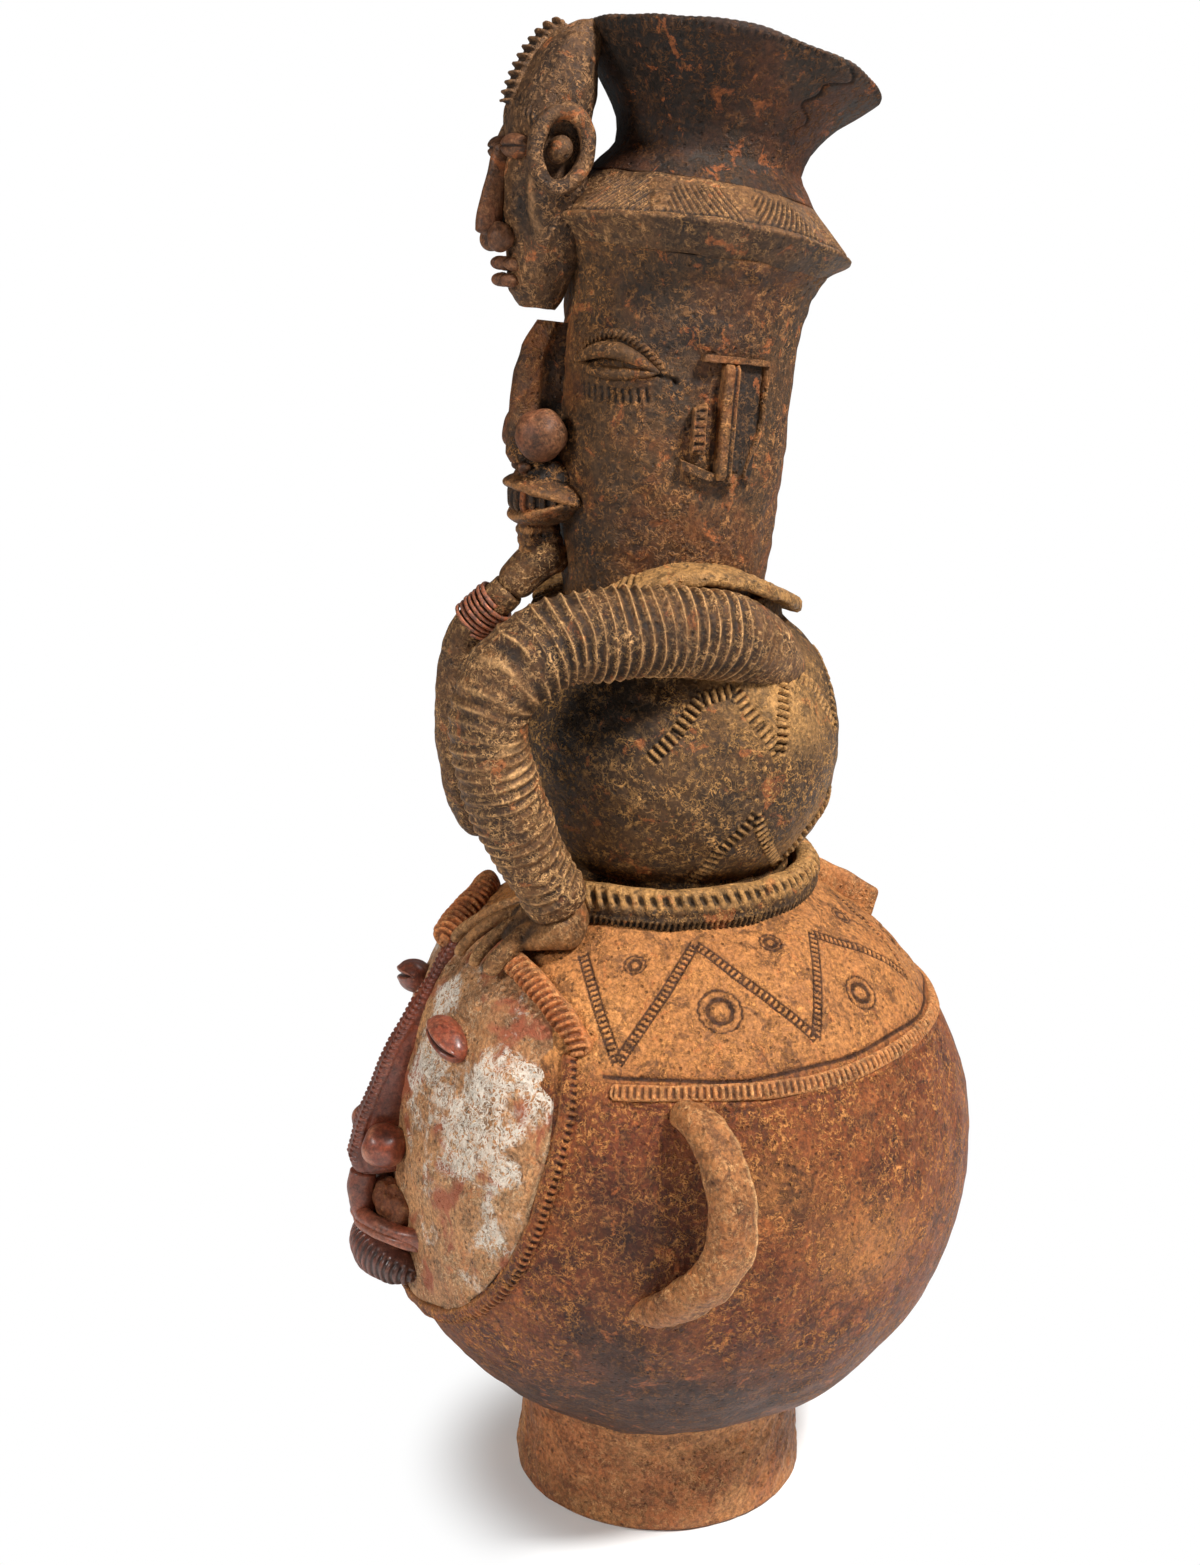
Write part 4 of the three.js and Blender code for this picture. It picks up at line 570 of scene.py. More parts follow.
# Painted light: the shoulder above the band is paled as if lit from above
globe_smoke[:len(outer)] -= 0.55 * smoothstep(29, 36, climb_map)
globe_clay = clay_material(
    "globe_clay", (114, 58, 24), (84, 34, 15), (206, 140, 78), (40, 18, 9),
    amounts=(0.75, 0.7, 0.35, 0.7),
)
clay_piece(
    "globe", globe_rows, globe_clay, "belly_pot", "globe", cut=globe_cut + globe_flaw, worn=globe_cut,
    smoke=globe_smoke,
)


# Face panel
# A shallow dome of finer clay bedded on the front of the globe. It was whitened with kaolin,
# of which worm-like patches are left over a brown and reddish ground.
def face_outline(turn, scale):
    across, up = squared(turn, 1 / 1.1)
    return scale * face_half_width * across, face_middle + scale * face_half_height * up


panel_front = [*np.linspace(0.02, 0.97, 90), 0.98, 0.99, 0.997, 1.0]
panel_scale = np.array(panel_front + [1.0, 0.99, *np.linspace(0.95, 0.1, 8)])[:, None]
front_rows = np.arange(len(panel_scale))[:, None] < len(panel_front)
panel_x, panel_z = face_outline(full_turn(420), panel_scale)
panel_y = globe_front(panel_x, panel_z) + face_dent(panel_x, panel_z)
panel_y += np.where(front_rows, -2.5 + 1.5 * smoothstep(0.97, 1.0, panel_scale), 7)
panel_rows = np.stack([panel_x, panel_y, panel_z], -1)
panel_flaw = np.where(front_rows, 0.8 * handwork(panel_rows, 45, 5) + 0.35 * handwork(panel_rows, 12, 6), 0)
eye_x = 48
for side in (1, -1):
    socket = np.hypot((panel_x - side * eye_x) / 1.25, panel_z - 296)
    panel_flaw += np.where(front_rows, -1.4 * mound(socket - 14, 6), 0)
    below = panel_z - (292.5 - 0.24 * (side * panel_x - eye_x))
    lashes = marks(side * panel_x + 0.35 * below, 4.2, 0.5)
    lashes = lashes * smoothstep(17, 13, np.abs(side * panel_x - 46))
    lashes = lashes * smoothstep(-15, -11, below) * smoothstep(-3, -5, below)
    panel_flaw -= np.where(front_rows, 1.2 * lashes, 0)
panel = mould("face_panel_clay", panel_rows, panel_flaw, worn=0.0)

# Kaolin wash: worn to patches and worm-like threads over a ground stained with red
kaolin, kaolin_in, kaolin_out = shader_group("kaolin_wash", [
    ("Ground", COLOUR, colour(130, 100, 70)),
    ("White", COLOUR, colour(218, 206, 190)),
    ("Red", COLOUR, colour(150, 78, 52)),
    ("Amount", FLOAT, 0.5),
], [("Color", COLOUR), ("Mask", FLOAT)])
spot = new_node(kaolin, "ShaderNodeTexCoord").outputs["Object"]
held = new_node(kaolin, "ShaderNodeAttribute", attribute_name="wash").outputs["Fac"]
drift = noise(kaolin, spot, 40.0, 5.0, 0.66, 0.5)
curl = worms_of(kaolin, noise(kaolin, spot, 140.0, 2.0, 0.5, 1.8), 0.03, 0.07)
thread = worms_of(kaolin, noise(kaolin, spot, 270.0, 2.0, 0.5, 1.0), 0.02, 0.07, 0.75)
flake = ramp(kaolin, noise(kaolin, spot, 125.0, 5.0, 0.72, 0.8), 0.5, 0.56)
drift = calc(kaolin, "MULTIPLY_ADD", drift, 2.0, -1.02)
density = calc(kaolin, "ADD", calc(kaolin, "MULTIPLY", held, 0.5), drift)
worms = calc(kaolin, "MULTIPLY", calc(kaolin, "MAXIMUM", curl, thread), ramp(kaolin, density, 0.12, 0.42))
solid = calc(kaolin, "MULTIPLY", flake, ramp(kaolin, density, 0.3, 0.55))
washed = calc(kaolin, "MAXIMUM", worms, calc(kaolin, "MULTIPLY", solid, 0.9))
washed = calc(kaolin, "MULTIPLY", washed, kaolin_in["Amount"])
rusty = ramp(kaolin, noise(kaolin, spot, 34.0, 4.0, 0.6, 0.4), 0.53, 0.64)
ground = blended(kaolin, calc(kaolin, "MULTIPLY", rusty, 0.85), kaolin_in["Ground"], kaolin_in["Red"])
kaolin.links.new(blended(kaolin, washed, ground, kaolin_in["White"]), kaolin_out["Color"])
kaolin.links.new(washed, kaolin_out["Mask"])
panel_material = clay_material(
    "face_panel_clay", (174, 124, 80), (146, 96, 60), (206, 172, 134), (84, 56, 36),
    amounts=(0.6, 0.7, 0.2, 0.8),
)
panel_tree = panel_material.node_tree
panel_shader = next(n for n in panel_tree.nodes if n.type == "BSDF_PRINCIPLED")
panel_skin = next(n for n in panel_tree.nodes if n.type == "GROUP")
panel_wash = new_node(panel_tree, "ShaderNodeGroup", {"Amount": 0.92}, node_tree=kaolin)
panel_tree.links.new(panel_skin.outputs["Color"], panel_wash.inputs["Ground"])
panel_tree.links.new(panel_wash.outputs["Color"], panel_shader.inputs["Base Color"])
wash = np.zeros(panel_x.shape)
for x, z, size, strength in (
    (92, 293, 19, 1.0), (108, 284, 18, 1.0), (117, 297, 12, 0.8), (95, 270, 15, 0.85), (60, 270, 14, 0.9),
    (34, 288, 15, 1.0), (22, 262, 12, 0.9), (30, 316, 12, 1.0), (78, 256, 14, 0.6), (94, 247, 13, 0.75),
    (84, 312, 9, 0.6), (112, 216, 12, 0.75), (70, 226, 14, 0.5), (116, 248, 12, 0.5), (58, 196, 16, 0.45),
    (100, 190, 12, 0.4), (-60, 262, 60, 0.8), (64, 322, 16, -0.9), (96, 322, 14, -0.7),
):
    wash += strength * mound(np.hypot(panel_x - x, panel_z - z), size)
wash = np.append(np.clip(wash, 0, 1).reshape(-1), [0, 0])
panel.data.attributes.new("wash", "FLOAT", "POINT").data.foreach_set("value", wash)
dress(panel, panel_material, "face_panel")


# Cord round the face
# A thin cord of clay luted along the lower edge of the panel, its inner half nicked all the way
# with a stick, its outer edge drawn out to a fine ridge.
# Smooth curve through points that doesn't overshoot where they lie unevenly
def catmull(points, closed=False, fine=40):
    points = np.asarray(points, float)
    if closed:
        points = np.vstack([points[-1], points, points[0], points[1]])
    else:
        points = np.vstack([2 * points[0] - points[1], points, 2 * points[-1] - points[-2]])
    traced = []
    for k in range(1, len(points) - 2):
        p0, p1, p2, p3 = points[k - 1:k + 3]
        t0, t1, t2 = (max(np.linalg.norm(b - a), 1e-6) ** 0.5 for a, b in ((p0, p1), (p1, p2), (p2, p3)))
        m1 = ((p1 - p0) / t0 - (p2 - p0) / (t0 + t1) + (p2 - p1) / t1) * t1
        m2 = ((p2 - p1) / t1 - (p3 - p1) / (t1 + t2) + (p3 - p2) / t2) * t1
        t = np.linspace(0, 1, fine, endpoint=False)[:, None]
        bend = 3 * (p2 - p1) - 2 * m1 - m2
        turn_over = m1 + m2 - 2 * (p2 - p1)
        traced.append(p1 + m1 * t + bend * t ** 2 + turn_over * t ** 3)
    last = points[1] if closed else points[-2]
    return np.vstack([*traced, last])


# Even steps along a path, with the distance run at each
def paced(points, count, closed=False, fine=40):
    path = catmull(points, closed, fine)
    run = np.concatenate([[0], np.cumsum(np.linalg.norm(np.diff(path, axis=0), axis=1))])
    steps = np.linspace(0, run[-1], count + 1)[:count if closed else count + 1]
    return np.stack([np.interp(steps, run, path[:, k]) for k in range(3)], -1), steps


def unit(vectors):
    return vectors / np.linalg.norm(vectors, axis=-1, keepdims=True)


# Rows of points swept along a path. The half sizes of the section, to the side and outwards, are
# numbers or functions of the share of the path; its ends are rounded over a given length.
def swept(points, count, sides, facing, side, out, power=2.0, closed=False, round_ends=(0, 0)):
    centre, run = paced(points, count, closed)
    along = unit(np.roll(centre, -1, 0) - np.roll(centre, 1, 0) if closed else np.gradient(centre, axis=0))
    away = np.broadcast_to(facing(centre) if callable(facing) else np.array(facing, float), centre.shape)
    away = unit(away - along * np.sum(away * along, 1, keepdims=True))
    aside = np.cross(along, away)
    share = run / run[-1]
    side = side(share) if callable(side) else side + 0 * share
    out = out(share) if callable(out) else out + 0 * share
    taper = np.ones_like(run)
    for length, gone in zip(round_ends, (run, run[-1] - run)):
        if length:
            taper *= np.sqrt(np.clip(1 - (1 - np.clip(gone / length, 0, 1)) ** 2, 0.0004, 1))
    angle = full_turn(sides, 0.5)
    across, rise = squared(angle, 2 / power)
    rows = centre[:, None] + aside[:, None] * (side * taper)[:, None, None] * across[None, :, None]
    rows = rows + away[:, None] * (out * taper)[:, None, None] * rise[None, :, None]
    return rows, run[:, None], angle[None, :]


def from_globe(points):
    return points - globe_middle


def face_edge(degrees, scale, out):
    x, z = face_outline(np.radians(degrees), scale)
    points = np.stack([x, globe_front(x, z), z], -1)
    return points + unit(from_globe(points)) * out


cord_rows, cord_run, cord_angle = swept(
    face_edge(np.linspace(36, -216, 50), 1.032, 0.6), 1100, 20, from_globe, 4.8, 3.6, 2.2,
    round_ends=(5, 5),
)
inner_half = smoothstep(-0.1, 0.55, -np.cos(cord_angle)) * smoothstep(-0.2, 0.2, np.sin(cord_angle))
cord_cut = -1.5 * marks(cord_run + 0.8 * np.cos(cord_angle), 3.9, 0.7) * inner_half
cord_cut = cord_cut - 0.8 * mound(cord_angle - 1.25, 0.16)
clay_piece(
    "face_cord", cord_rows, globe_clay, "face_border", "globe", cut=cord_cut, uneven=[(0.35, 18, 7)],
    worn=cord_cut + 0.5,
)


# Brow bands
# Thick bands of clay over the two brows, low at the temples and high at the forehead, with big
# wedge notches pressed across them with the edge of a paddle.
brow_clay = clay_material(
    "brow_clay", (172, 108, 60), (176, 92, 44), (214, 160, 104), (96, 52, 30),
    amounts=(0.7, 0.5, 0.25, 0.5),
)
left_brow = [(121, -79, 315), (114, -83, 325), (102, -88, 334), (86, -94, 341), (70, -99, 346), (54, -105, 349)]
right_brow = [
    (-121, -79, 315), (-104, -86, 333), (-84, -90, 346), (-60, -92, 356), (-42, -98, 359),
    (-28, -107, 356.5), (-18, -116, 350), (-9, -124, 344), (-3, -130, 339),
]
brow_width = 7.0
for name, side, brow_path, proud, pitch in (("left", 1, left_brow, 3.5, 4.5), ("right", -1, right_brow, 6, 4.4)):
    brow_reach = globe_radius + np.linspace(0, proud, len(brow_path))[:, None]
    brow_rows, brow_run, brow_angle = swept(
        globe_middle + unit(from_globe(np.array(brow_path))) * brow_reach, 460, 48, from_globe,
        brow_width, lambda share: mixed(5.5, proud + 3, share), 2.4, round_ends=(5, 7),
    )
    brow_cut = -2.3 * marks(brow_run + 2.2 * side * np.cos(brow_angle), pitch, 0.72)
    brow_cut = brow_cut * smoothstep(-0.9, -0.2, np.sin(brow_angle))
    if side > 0:
        brow_cut = brow_cut * smoothstep(-0.75, -0.6, -np.cos(brow_angle))
    clay_piece(
        f"brow_{name}", brow_rows, brow_clay, f"brow_band_{name}", "shoulder", cut=brow_cut,
        uneven=[(0.5, 20, 8)], worn=brow_cut * 0.45 + 0.3,
    )

# Nose of the big face
# A tall bar of clay set on edge down the middle of the face, red slip on its sides, its front
# drawn up into two thin ridges that are nicked all the way with a groove between them.
def profile_at(heights, points):
    points = sorted(points)
    return np.interp(heights, [p[0] for p in points], [p[1] for p in points])


# Rows of an upright bar: half its width and how far its front and back stand out at each height
def upright(heights, half, front, back, across, ahead):
    return np.stack([
        half[:, None] * across,
        -(front + back)[:, None] / 2 - ((front - back) / 2)[:, None] * ahead,
        heights[:, None] + 0 * across,
    ], -1)


nose_level = np.array([*np.linspace(206.5, 212, 10), *np.linspace(212.4, 341, 420), *np.linspace(341.4, 343, 5)])
nose_front = profile_at(nose_level, [
    (206, -177.5), (211, -180.6), (218, -182.6), (236, -178), (253, -171), (283, -157), (309, -140.5),
    (331, -127.5), (343, -120),
])
nose_back = np.minimum(globe_front(0, nose_level) + face_dent(0, nose_level) + 3, -100)
nose_side, nose_depth = squared(full_turn(72, 0.5), 0.5)
nose_half = mixed(8.6, 6.2, smoothstep(215, 330, nose_level))
shrink = np.where(nose_level < 208, 0.86, 1.0) * np.where(nose_level > 341.2, 0.88, 1.0)
shrink = shrink[:, None]
nose_rows = upright(nose_level, nose_half, -nose_front, -nose_back, shrink * nose_side, shrink * nose_depth)
behind_front = nose_rows[..., 1] - nose_front[:, None]
on_front = smoothstep(-0.5, 0.0, -(behind_front - 2.8) / 2.8)
across = np.abs(nose_rows[..., 0] / nose_half[:, None])
nose_height = nose_rows[..., 2]
nose_cut = -1.5 * mound(across, 0.3) * on_front * smoothstep(344, 338, nose_height)
nicks = 0.8 * marks(nose_height + 1.4 * across, 2.8, 0.6) * on_front
nose_cut = nose_cut - nicks * smoothstep(0.3, 0.5, across) * smoothstep(212, 216, nose_height)
nose_cut = nose_cut - 0.7 * mound(behind_front - 6.5, 0.7)
slip_clay = clay_material(
    "slip_clay", (120, 54, 32), (88, 40, 27), (184, 120, 88), (50, 30, 24),
    amounts=(0.8, 0.22, 0.35, 0.3), bump=0.0005, Rust_Amount=0.25, Char_Amount=0.3,
)
slip_shader = next(node for node in slip_clay.node_tree.nodes if node.type == "BSDF_PRINCIPLED")
slip_shader.inputs["Coat Weight"].default_value = 0.5
slip_shader.inputs["Coat Roughness"].default_value = 0.3
clay_piece(
    "nose", nose_rows, slip_clay, "nose_ridge", "slip", cut=nose_cut, uneven=[(0.4, 22, 9)],
    worn=nose_cut * 0.7 + 0.25,
)


# Nostrils of the big face
# Two balls of clay are pressed against the foot of the nose and rubbed with red slip until
# they shine.
def ball(centre, sizes, columns=72, rows=44):
    climb = np.linspace(-math.pi / 2 + 0.02, math.pi / 2 - 0.02, rows)[:, None]
    turn = full_turn(columns)
    point = [np.cos(climb) * np.cos(turn), np.cos(climb) * np.sin(turn), np.sin(climb) + 0 * turn]
    return np.stack(point, -1) * np.array(sizes) + np.array(centre)


both_sides = (("left", 1), ("right", -1))
for name, side in both_sides:
    nostril_rows = ball((side * 17, -164.5, 227.5), (12.4, 12.6, 12.2))
    clay_piece(
        f"nostril_ball_{name}", nostril_rows, slip_clay, f"nostril_{name}", "slip",
        uneven=[(0.5, 14, 10 + side)],
    )


# Eyes of the big face
# Beans of clay like split coffee beans, pressed onto the face. A level slit is cut in each and
# its two edges swell up as lids.
def on_face(x, z, out=0.0):
    point = np.stack(np.broadcast_arrays(x, globe_front(x, z) + face_dent(x, z) - 2.5, z), -1)
    return point + unit(from_globe(point)) * np.asarray(out)[..., None]


for name, side in both_sides:
    reach = np.linspace(-1, 1, 9)
    path = on_face(side * (49 + reach * 16), 299.5 - 4.5 * reach, 2.0)
    bean = lambda share: 9.4 * np.sqrt(np.clip(1 - (2 * share - 1) ** 2, 0.004, 1)) ** 0.85
    eye_rows, eye_run, eye_angle = swept(path, 130, 96, from_globe, bean, lambda share: 1.15 * bean(share))
    lid = np.sin(eye_angle) * smoothstep(0, 2, eye_run) * smoothstep(0, 2, eye_run[::-1])
    slit_angle = math.pi / 2 - side * 0.42
    slit = -3.2 * mound(eye_angle - slit_angle, 0.12) * lid
    slit = slit + 0.8 * mound(eye_angle - slit_angle - side * 0.32, 0.14) * lid
    slit = slit + 0.5 * mound(eye_angle - slit_angle + side * 0.28, 0.1) * lid
    clay_piece(
        f"eye_bean_{name}", eye_rows, slip_clay, f"eye_{name}", "slip", cut=slit, uneven=[(0.25, 12, 13)],
        worn=slit * 0.7,
    )


# Lips of the big face
# The upper lip is a narrow strip under the nose and a red shelf with a raised rim that juts out
# like a scoop; the lower lip is a dark roll below it, cut with upright strokes like a beard.
def lip_path(corner, middle, proud, half_span):
    share = np.linspace(-1, 1, 17)
    swell = np.maximum(0, np.cos(share * math.pi / 2))
    return on_face(share * half_span, mixed(corner, middle, swell), proud * swell ** 0.8)


rim_share = np.linspace(-1, 1, 21)
rim_bow = np.maximum(0, np.cos(rim_share * math.pi / 2)) ** 0.75
rim_path = np.stack([rim_share * 41, -143.5 - 32.5 * rim_bow, 178.5 + 1.5 * rim_bow], -1)
shelf_path = (rim_path + on_face(rim_share * 38, 172 + 0 * rim_share)) / 2
shelf_rows = swept(
    shelf_path, 200, 48, lambda centre: from_globe(centre) / 170 + np.array([0, 0, 0.45]), 3.4,
    lambda share: 3.0 + 13.5 * np.maximum(0, np.sin(share * math.pi)) ** 0.75, 3.0, round_ends=(3, 3),
)[0]
rim_rows = swept(rim_path, 300, 40, from_globe, 6.6, 5.0, 2.4, round_ends=(4, 4))[0]
strip_path = [(0, -173.5, 180), (0, -175.5, 188), (0, -175.5, 197), (0, -173.5, 208)]
strip_rows = swept(strip_path, 80, 40, (0, -1, 0), 7.0, 7.5, 2.4, round_ends=(3, 3))[0]
gape_path = [(-27, -150, 182), (-15, -157, 186), (0, -161, 188), (15, -157, 186), (27, -150, 182)]
gape_rows = swept(gape_path, 90, 48, from_globe, 13.5, 9, 2.4, round_ends=(10, 10))[0]
for x, y in ((10, -170), (-10, -170), (26, -160), (-26, -160)):
    gape_rows = gape_rows + 0.25 * (np.array([x, y + 8, 192]) - gape_rows) * np.exp(
        -(np.linalg.norm(gape_rows - np.array([x, y, 194]), axis=-1) / 5) ** 2)[..., None]
# The mouth fill in the hollow behind the lips is darkened as painted shade
for name, rows, clay_kind, coarse, dark, pale in (
    ("mouth_fill", gape_rows, brow_clay, 1.1, 1.5, -0.4),
    ("upper_lip_shelf", shelf_rows, slip_clay, 0, 0.0, 0.5),
    ("upper_lip_rim", rim_rows, slip_clay, 0, 0, 0.4),
    ("upper_lip_front", strip_rows, slip_clay, 0, 0, 0.3),
):
    clay_piece(
        name, rows, clay_kind, "upper_lip", "slip", uneven=[(0.4, 14, 14), (coarse, 6, 44)],
        worn=pale, smoke=dark,
    )
jaw_rows, jaw_run, jaw_angle = swept(
    lip_path(158, 164, 15, 37), 340, 72, from_globe,
    lambda share: 6.0 + 8.5 * np.sin(share * math.pi),
    lambda share: 5.0 + 8.5 * np.sin(share * math.pi) ** 0.8, 2.2, round_ends=(5, 5),
)
jaw_front = smoothstep(0.15, 0.5, np.sin(jaw_angle))
jaw_cut = -1.5 * marks(jaw_run + 1.5 * np.cos(jaw_angle), 4.0, 0.66) * jaw_front
clay_piece(
    "lower_lip_roll", jaw_rows, slip_clay, "lower_lip", "slip", cut=jaw_cut, uneven=[(0.4, 16, 15)],
    worn=jaw_cut * 0.7, smoke=0.45,
)


# Ear handles
# Thick straps of pale clay bowed out from the sides of the globe and swept back, rubbed by
# hands, with a step along their inner edge and both ends smeared into the globe.
handle_clay = clay_material(
    "handle_clay", (150, 96, 52), (118, 66, 33), (226, 176, 120), (74, 43, 25),
    amounts=(0.7, 0.45, 0.25, 0.6),
)
for name, side in both_sides:
    path = np.array([
        (146, -31, 287), (162, -28, 288), (177, -23, 279), (189, -19.5, 261), (193, -20, 240),
        (189, -28, 218), (176, -41, 199), (159, -51, 188), (141, -57, 184),
    ]) * np.array([side, 1, 1])
    strap_rows, strap_run, strap_angle = swept(
        path, 260, 72, lambda centre: centre - np.array([side * 128.0, -52.0, 234.0]),
        lambda share: mixed(10.5, 14, np.sin(share * math.pi)) + 3 * smoothstep(0.9, 1, share),
        lambda share: mixed(7.5, 9.8, np.sin(share * math.pi)) + 2 * smoothstep(0.92, 1, share),
        2.7, round_ends=(6, 6),
    )
    turned_in = strap_angle - math.pi / 2 if side > 0 else math.pi / 2 - strap_angle
    step = -2.4 * smoothstep(0.35, 0.6, turned_in) * smoothstep(2.3, 2.0, turned_in)
    strap_flaw = step + 0.7 * handwork(strap_rows, 24, 16) + 0.3 * handwork(strap_rows, 8, 17)
    strap_edge = mound(turned_in - 0.35, 0.16) + mound(turned_in - 2.3, 0.16)
    clay_piece(
        f"handle_{name}", strap_rows, handle_clay, f"ear_handle_{name}", "handle", cut=strap_flaw,
        worn=0.7 * strap_edge + 0.5 * step / 2.4,
    )


# Shoulder band
# A flat cord of clay round the shoulder of the globe, nicked from end to end, just under the
# incised line.
band_clay = clay_material(
    "band_clay", (172, 110, 60), (150, 92, 52), (220, 168, 112), (80, 48, 30),
    amounts=(0.6, 0.5, 0.3, 0.6),
)
band_turn = np.linspace(62, 298, 60)
band_rows, band_run, band_angle = swept(
    on_globe(band_turn, 30 + 0.3 * np.sin(np.radians(band_turn * 6)), 0.2), 1500, 18, from_globe,
    4.2, 2.6, 2.8, round_ends=(3, 3),
)
band_top = smoothstep(0.2, 0.7, np.sin(band_angle))
band_cut = -1.5 * marks(band_run + 0.35 * np.sin(band_run / 9), 3.8, 0.7) * band_top
band_cut = band_cut * smoothstep(1.0, 0.75, np.abs(np.cos(band_angle)))
clay_piece(
    "band", band_rows, band_clay, "shoulder_band", "shoulder", cut=band_cut, uneven=[(0.3, 26, 18)],
    worn=band_cut * 0.8 + 0.35,
)


# Back crest
# A fin of clay luted to the back of the globe's shoulder. It runs down from the waist to a blunt
# raised tip.
crest_share = np.linspace(0, 1, 90)
crest_tip = on_globe(180, 46.4, 14.5)
crest_top = mixed(np.array([0, 84.0, 375.0]), crest_tip + np.array([0, -2, 1.5]), crest_share[:, None])
crest_low = mixed(np.array([0, 84.0, 350.0]), on_globe(180, 44.2, -4.0), crest_share[:, None])
crest_middle = (crest_top + crest_low) / 2
crest_up = (crest_top - crest_low) / 2
crest_x = 6.6 * squared(full_turn(48, 0.5), 0.6)[0]
crest_rise = squared(full_turn(48, 0.5), 0.55)[1]
crest_end = np.sqrt(np.clip(1 - ((crest_share - 0.97) / 0.034) ** 2, 0.05, 1))
crest_taper = np.where(crest_share > 0.97, crest_end, 1)
crest_rows = crest_middle[:, None] + crest_up[:, None] * (crest_taper[:, None] * crest_rise)[..., None]
crest_rows = crest_rows + (crest_taper[:, None] * crest_x)[..., None] * np.array([1.0, 0, 0])
clay_piece("crest", crest_rows, band_clay, "back_crest", "shoulder", uneven=[(0.5, 14, 19)], worn=0.0)


# Waist ring
# A thick coil of clay that hides the seam where the torso stands on the globe. Leaf-shaped
# wedges are pressed along its upper half and narrower ones along its lower half. The lower half
# is darkened as painted shade and the upper half paled as painted light.
waist_turn = full_turn(48)
waist_path = np.stack([78.5 * np.sin(waist_turn), 2 - 78.5 * np.cos(waist_turn), 371 + 0 * waist_turn], -1)
waist_rows, waist_run, waist_angle = swept(
    waist_path, 760, 60, lambda centre: (centre - np.array([0, 2, 371])) * np.array([1, 1, 0]),
    11.6, 7.2, 2.6, closed=True,
)
waist_notches = 80
waist_pitch = 2 * math.pi * 78.5 / waist_notches
upward = np.cos(waist_angle) * (1 if waist_rows[0, np.argmax(np.cos(waist_angle)), 2] > 371 else -1)
outward = smoothstep(-0.1, 0.35, np.sin(waist_angle))
waist_drift = waist_run + 0.5 * np.sin(waist_run / 23)
leaf = marks(waist_drift + 3.2 * upward, waist_pitch, 0.78) * mound(upward - 0.5, 0.36)
gash = marks(waist_drift - 2.4 * upward + 2, waist_pitch * 0.5, 0.6) * mound(upward + 0.6, 0.24)
waist_cut = -(3.0 * leaf + 2.5 * gash) * outward - 1.4 * mound(upward + 0.12, 0.08) * outward
torso_clay = clay_material(
    "torso_clay", (76, 50, 25), (56, 37, 20), (190, 140, 82), (28, 20, 13),
    amounts=(0.8, 0.85, 0.5, 0.6),
)
# Painted shade under the coil and painted light on its top, through the smoke mark
clay_piece(
    "waist_cord", waist_rows, torso_clay, "waist_ring", "torso", cut=waist_cut, uneven=[(0.5, 26, 20)],
    ring=True, worn=waist_cut * 0.6 + 0.45,
    smoke=0.9 * smoothstep(-0.1, -0.5, upward) - 0.75 * smoothstep(0, 0.3, upward),
)


# Torso
# A hollow sphere, darker than the globe from the smoke of the fire, pressed with zigzags of
# notches at the shoulder and over the hip, and a smooth rubbed diagonal at the flank.
torso_middle = np.array([0.0, 6.7, 445.0])
torso_radius = 90.5


def on_torso(azimuth, elevation, out=0.0):
    return on_pot(torso_middle, torso_radius + out, torso_radius + out, azimuth, elevation)


torso_climb = np.linspace(-46, 50.4, 190)
torso_turn = np.arange(620) / 620 * 360
torso_skin = on_torso(torso_turn[None, :], torso_climb[:, None])
torso_foot = turned([(50, 374.5), (64.5, 374.2), (64.5, 378)], 620, 6.7)
torso_neck = turned([(57, 518), (56, 528), (41, 528)] + [
    (81.5 * math.cos(a), 445 + 81.5 * math.sin(a)) for a in np.radians(np.linspace(60, -50, 12))
], 620, 6.7)
torso_rows = np.concatenate([torso_foot, torso_skin, torso_neck])
torso_cut = np.zeros(torso_rows.shape[:2])
torso_skin_cut = torso_cut[len(torso_foot):len(torso_foot) + len(torso_climb)]
upper_zigzag = [
    (64.8, 6.1), (72.9, 14.4), (81.8, 25.8), (95.5, 28.5), (103.1, 16.2), (110.1, 5.4),
    (113, 16.6), (123, 34.4), (136, 24), (146, 8), (156, 22), (166, 33), (180, 14),
]
lower_zigzag = [
    (81.9, -44), (90.4, -27.5), (101.5, -14.4), (108.9, -25.7), (128, -42), (139, -27),
    (150.1, -15.6), (165, -30), (180, -42),
]
for side in (1, -1):
    for zigzag, half, pitch in ((upper_zigzag, 4.3, 4.1), (lower_zigzag, 4.0, 4.0)):
        path = [on_torso(side * azimuth, elevation) for azimuth, elevation in zigzag]
        pressed = strip(torso_skin, path, torso_middle, half, pitch, 1.8, 0.12, 0.55)
        torso_skin_cut[:] = stronger(torso_skin_cut, pressed)
flank_start = on_torso(61.5, -7.6)
flank_end = on_torso(40, -28)
flank_way = unit(flank_end - flank_start)
flank_near = torso_rows - flank_start
flank_along = flank_near @ flank_way
flank_off = np.linalg.norm(flank_near - flank_along[..., None] * flank_way, axis=-1)
flank = mound(flank_off, 2.4) * smoothstep(-4, 2, flank_along) * smoothstep(44, 38, flank_along)
torso_flaw = 0.9 * handwork(torso_rows, 48, 21) + 0.35 * handwork(torso_rows, 13, 22) + 1.1 * flank
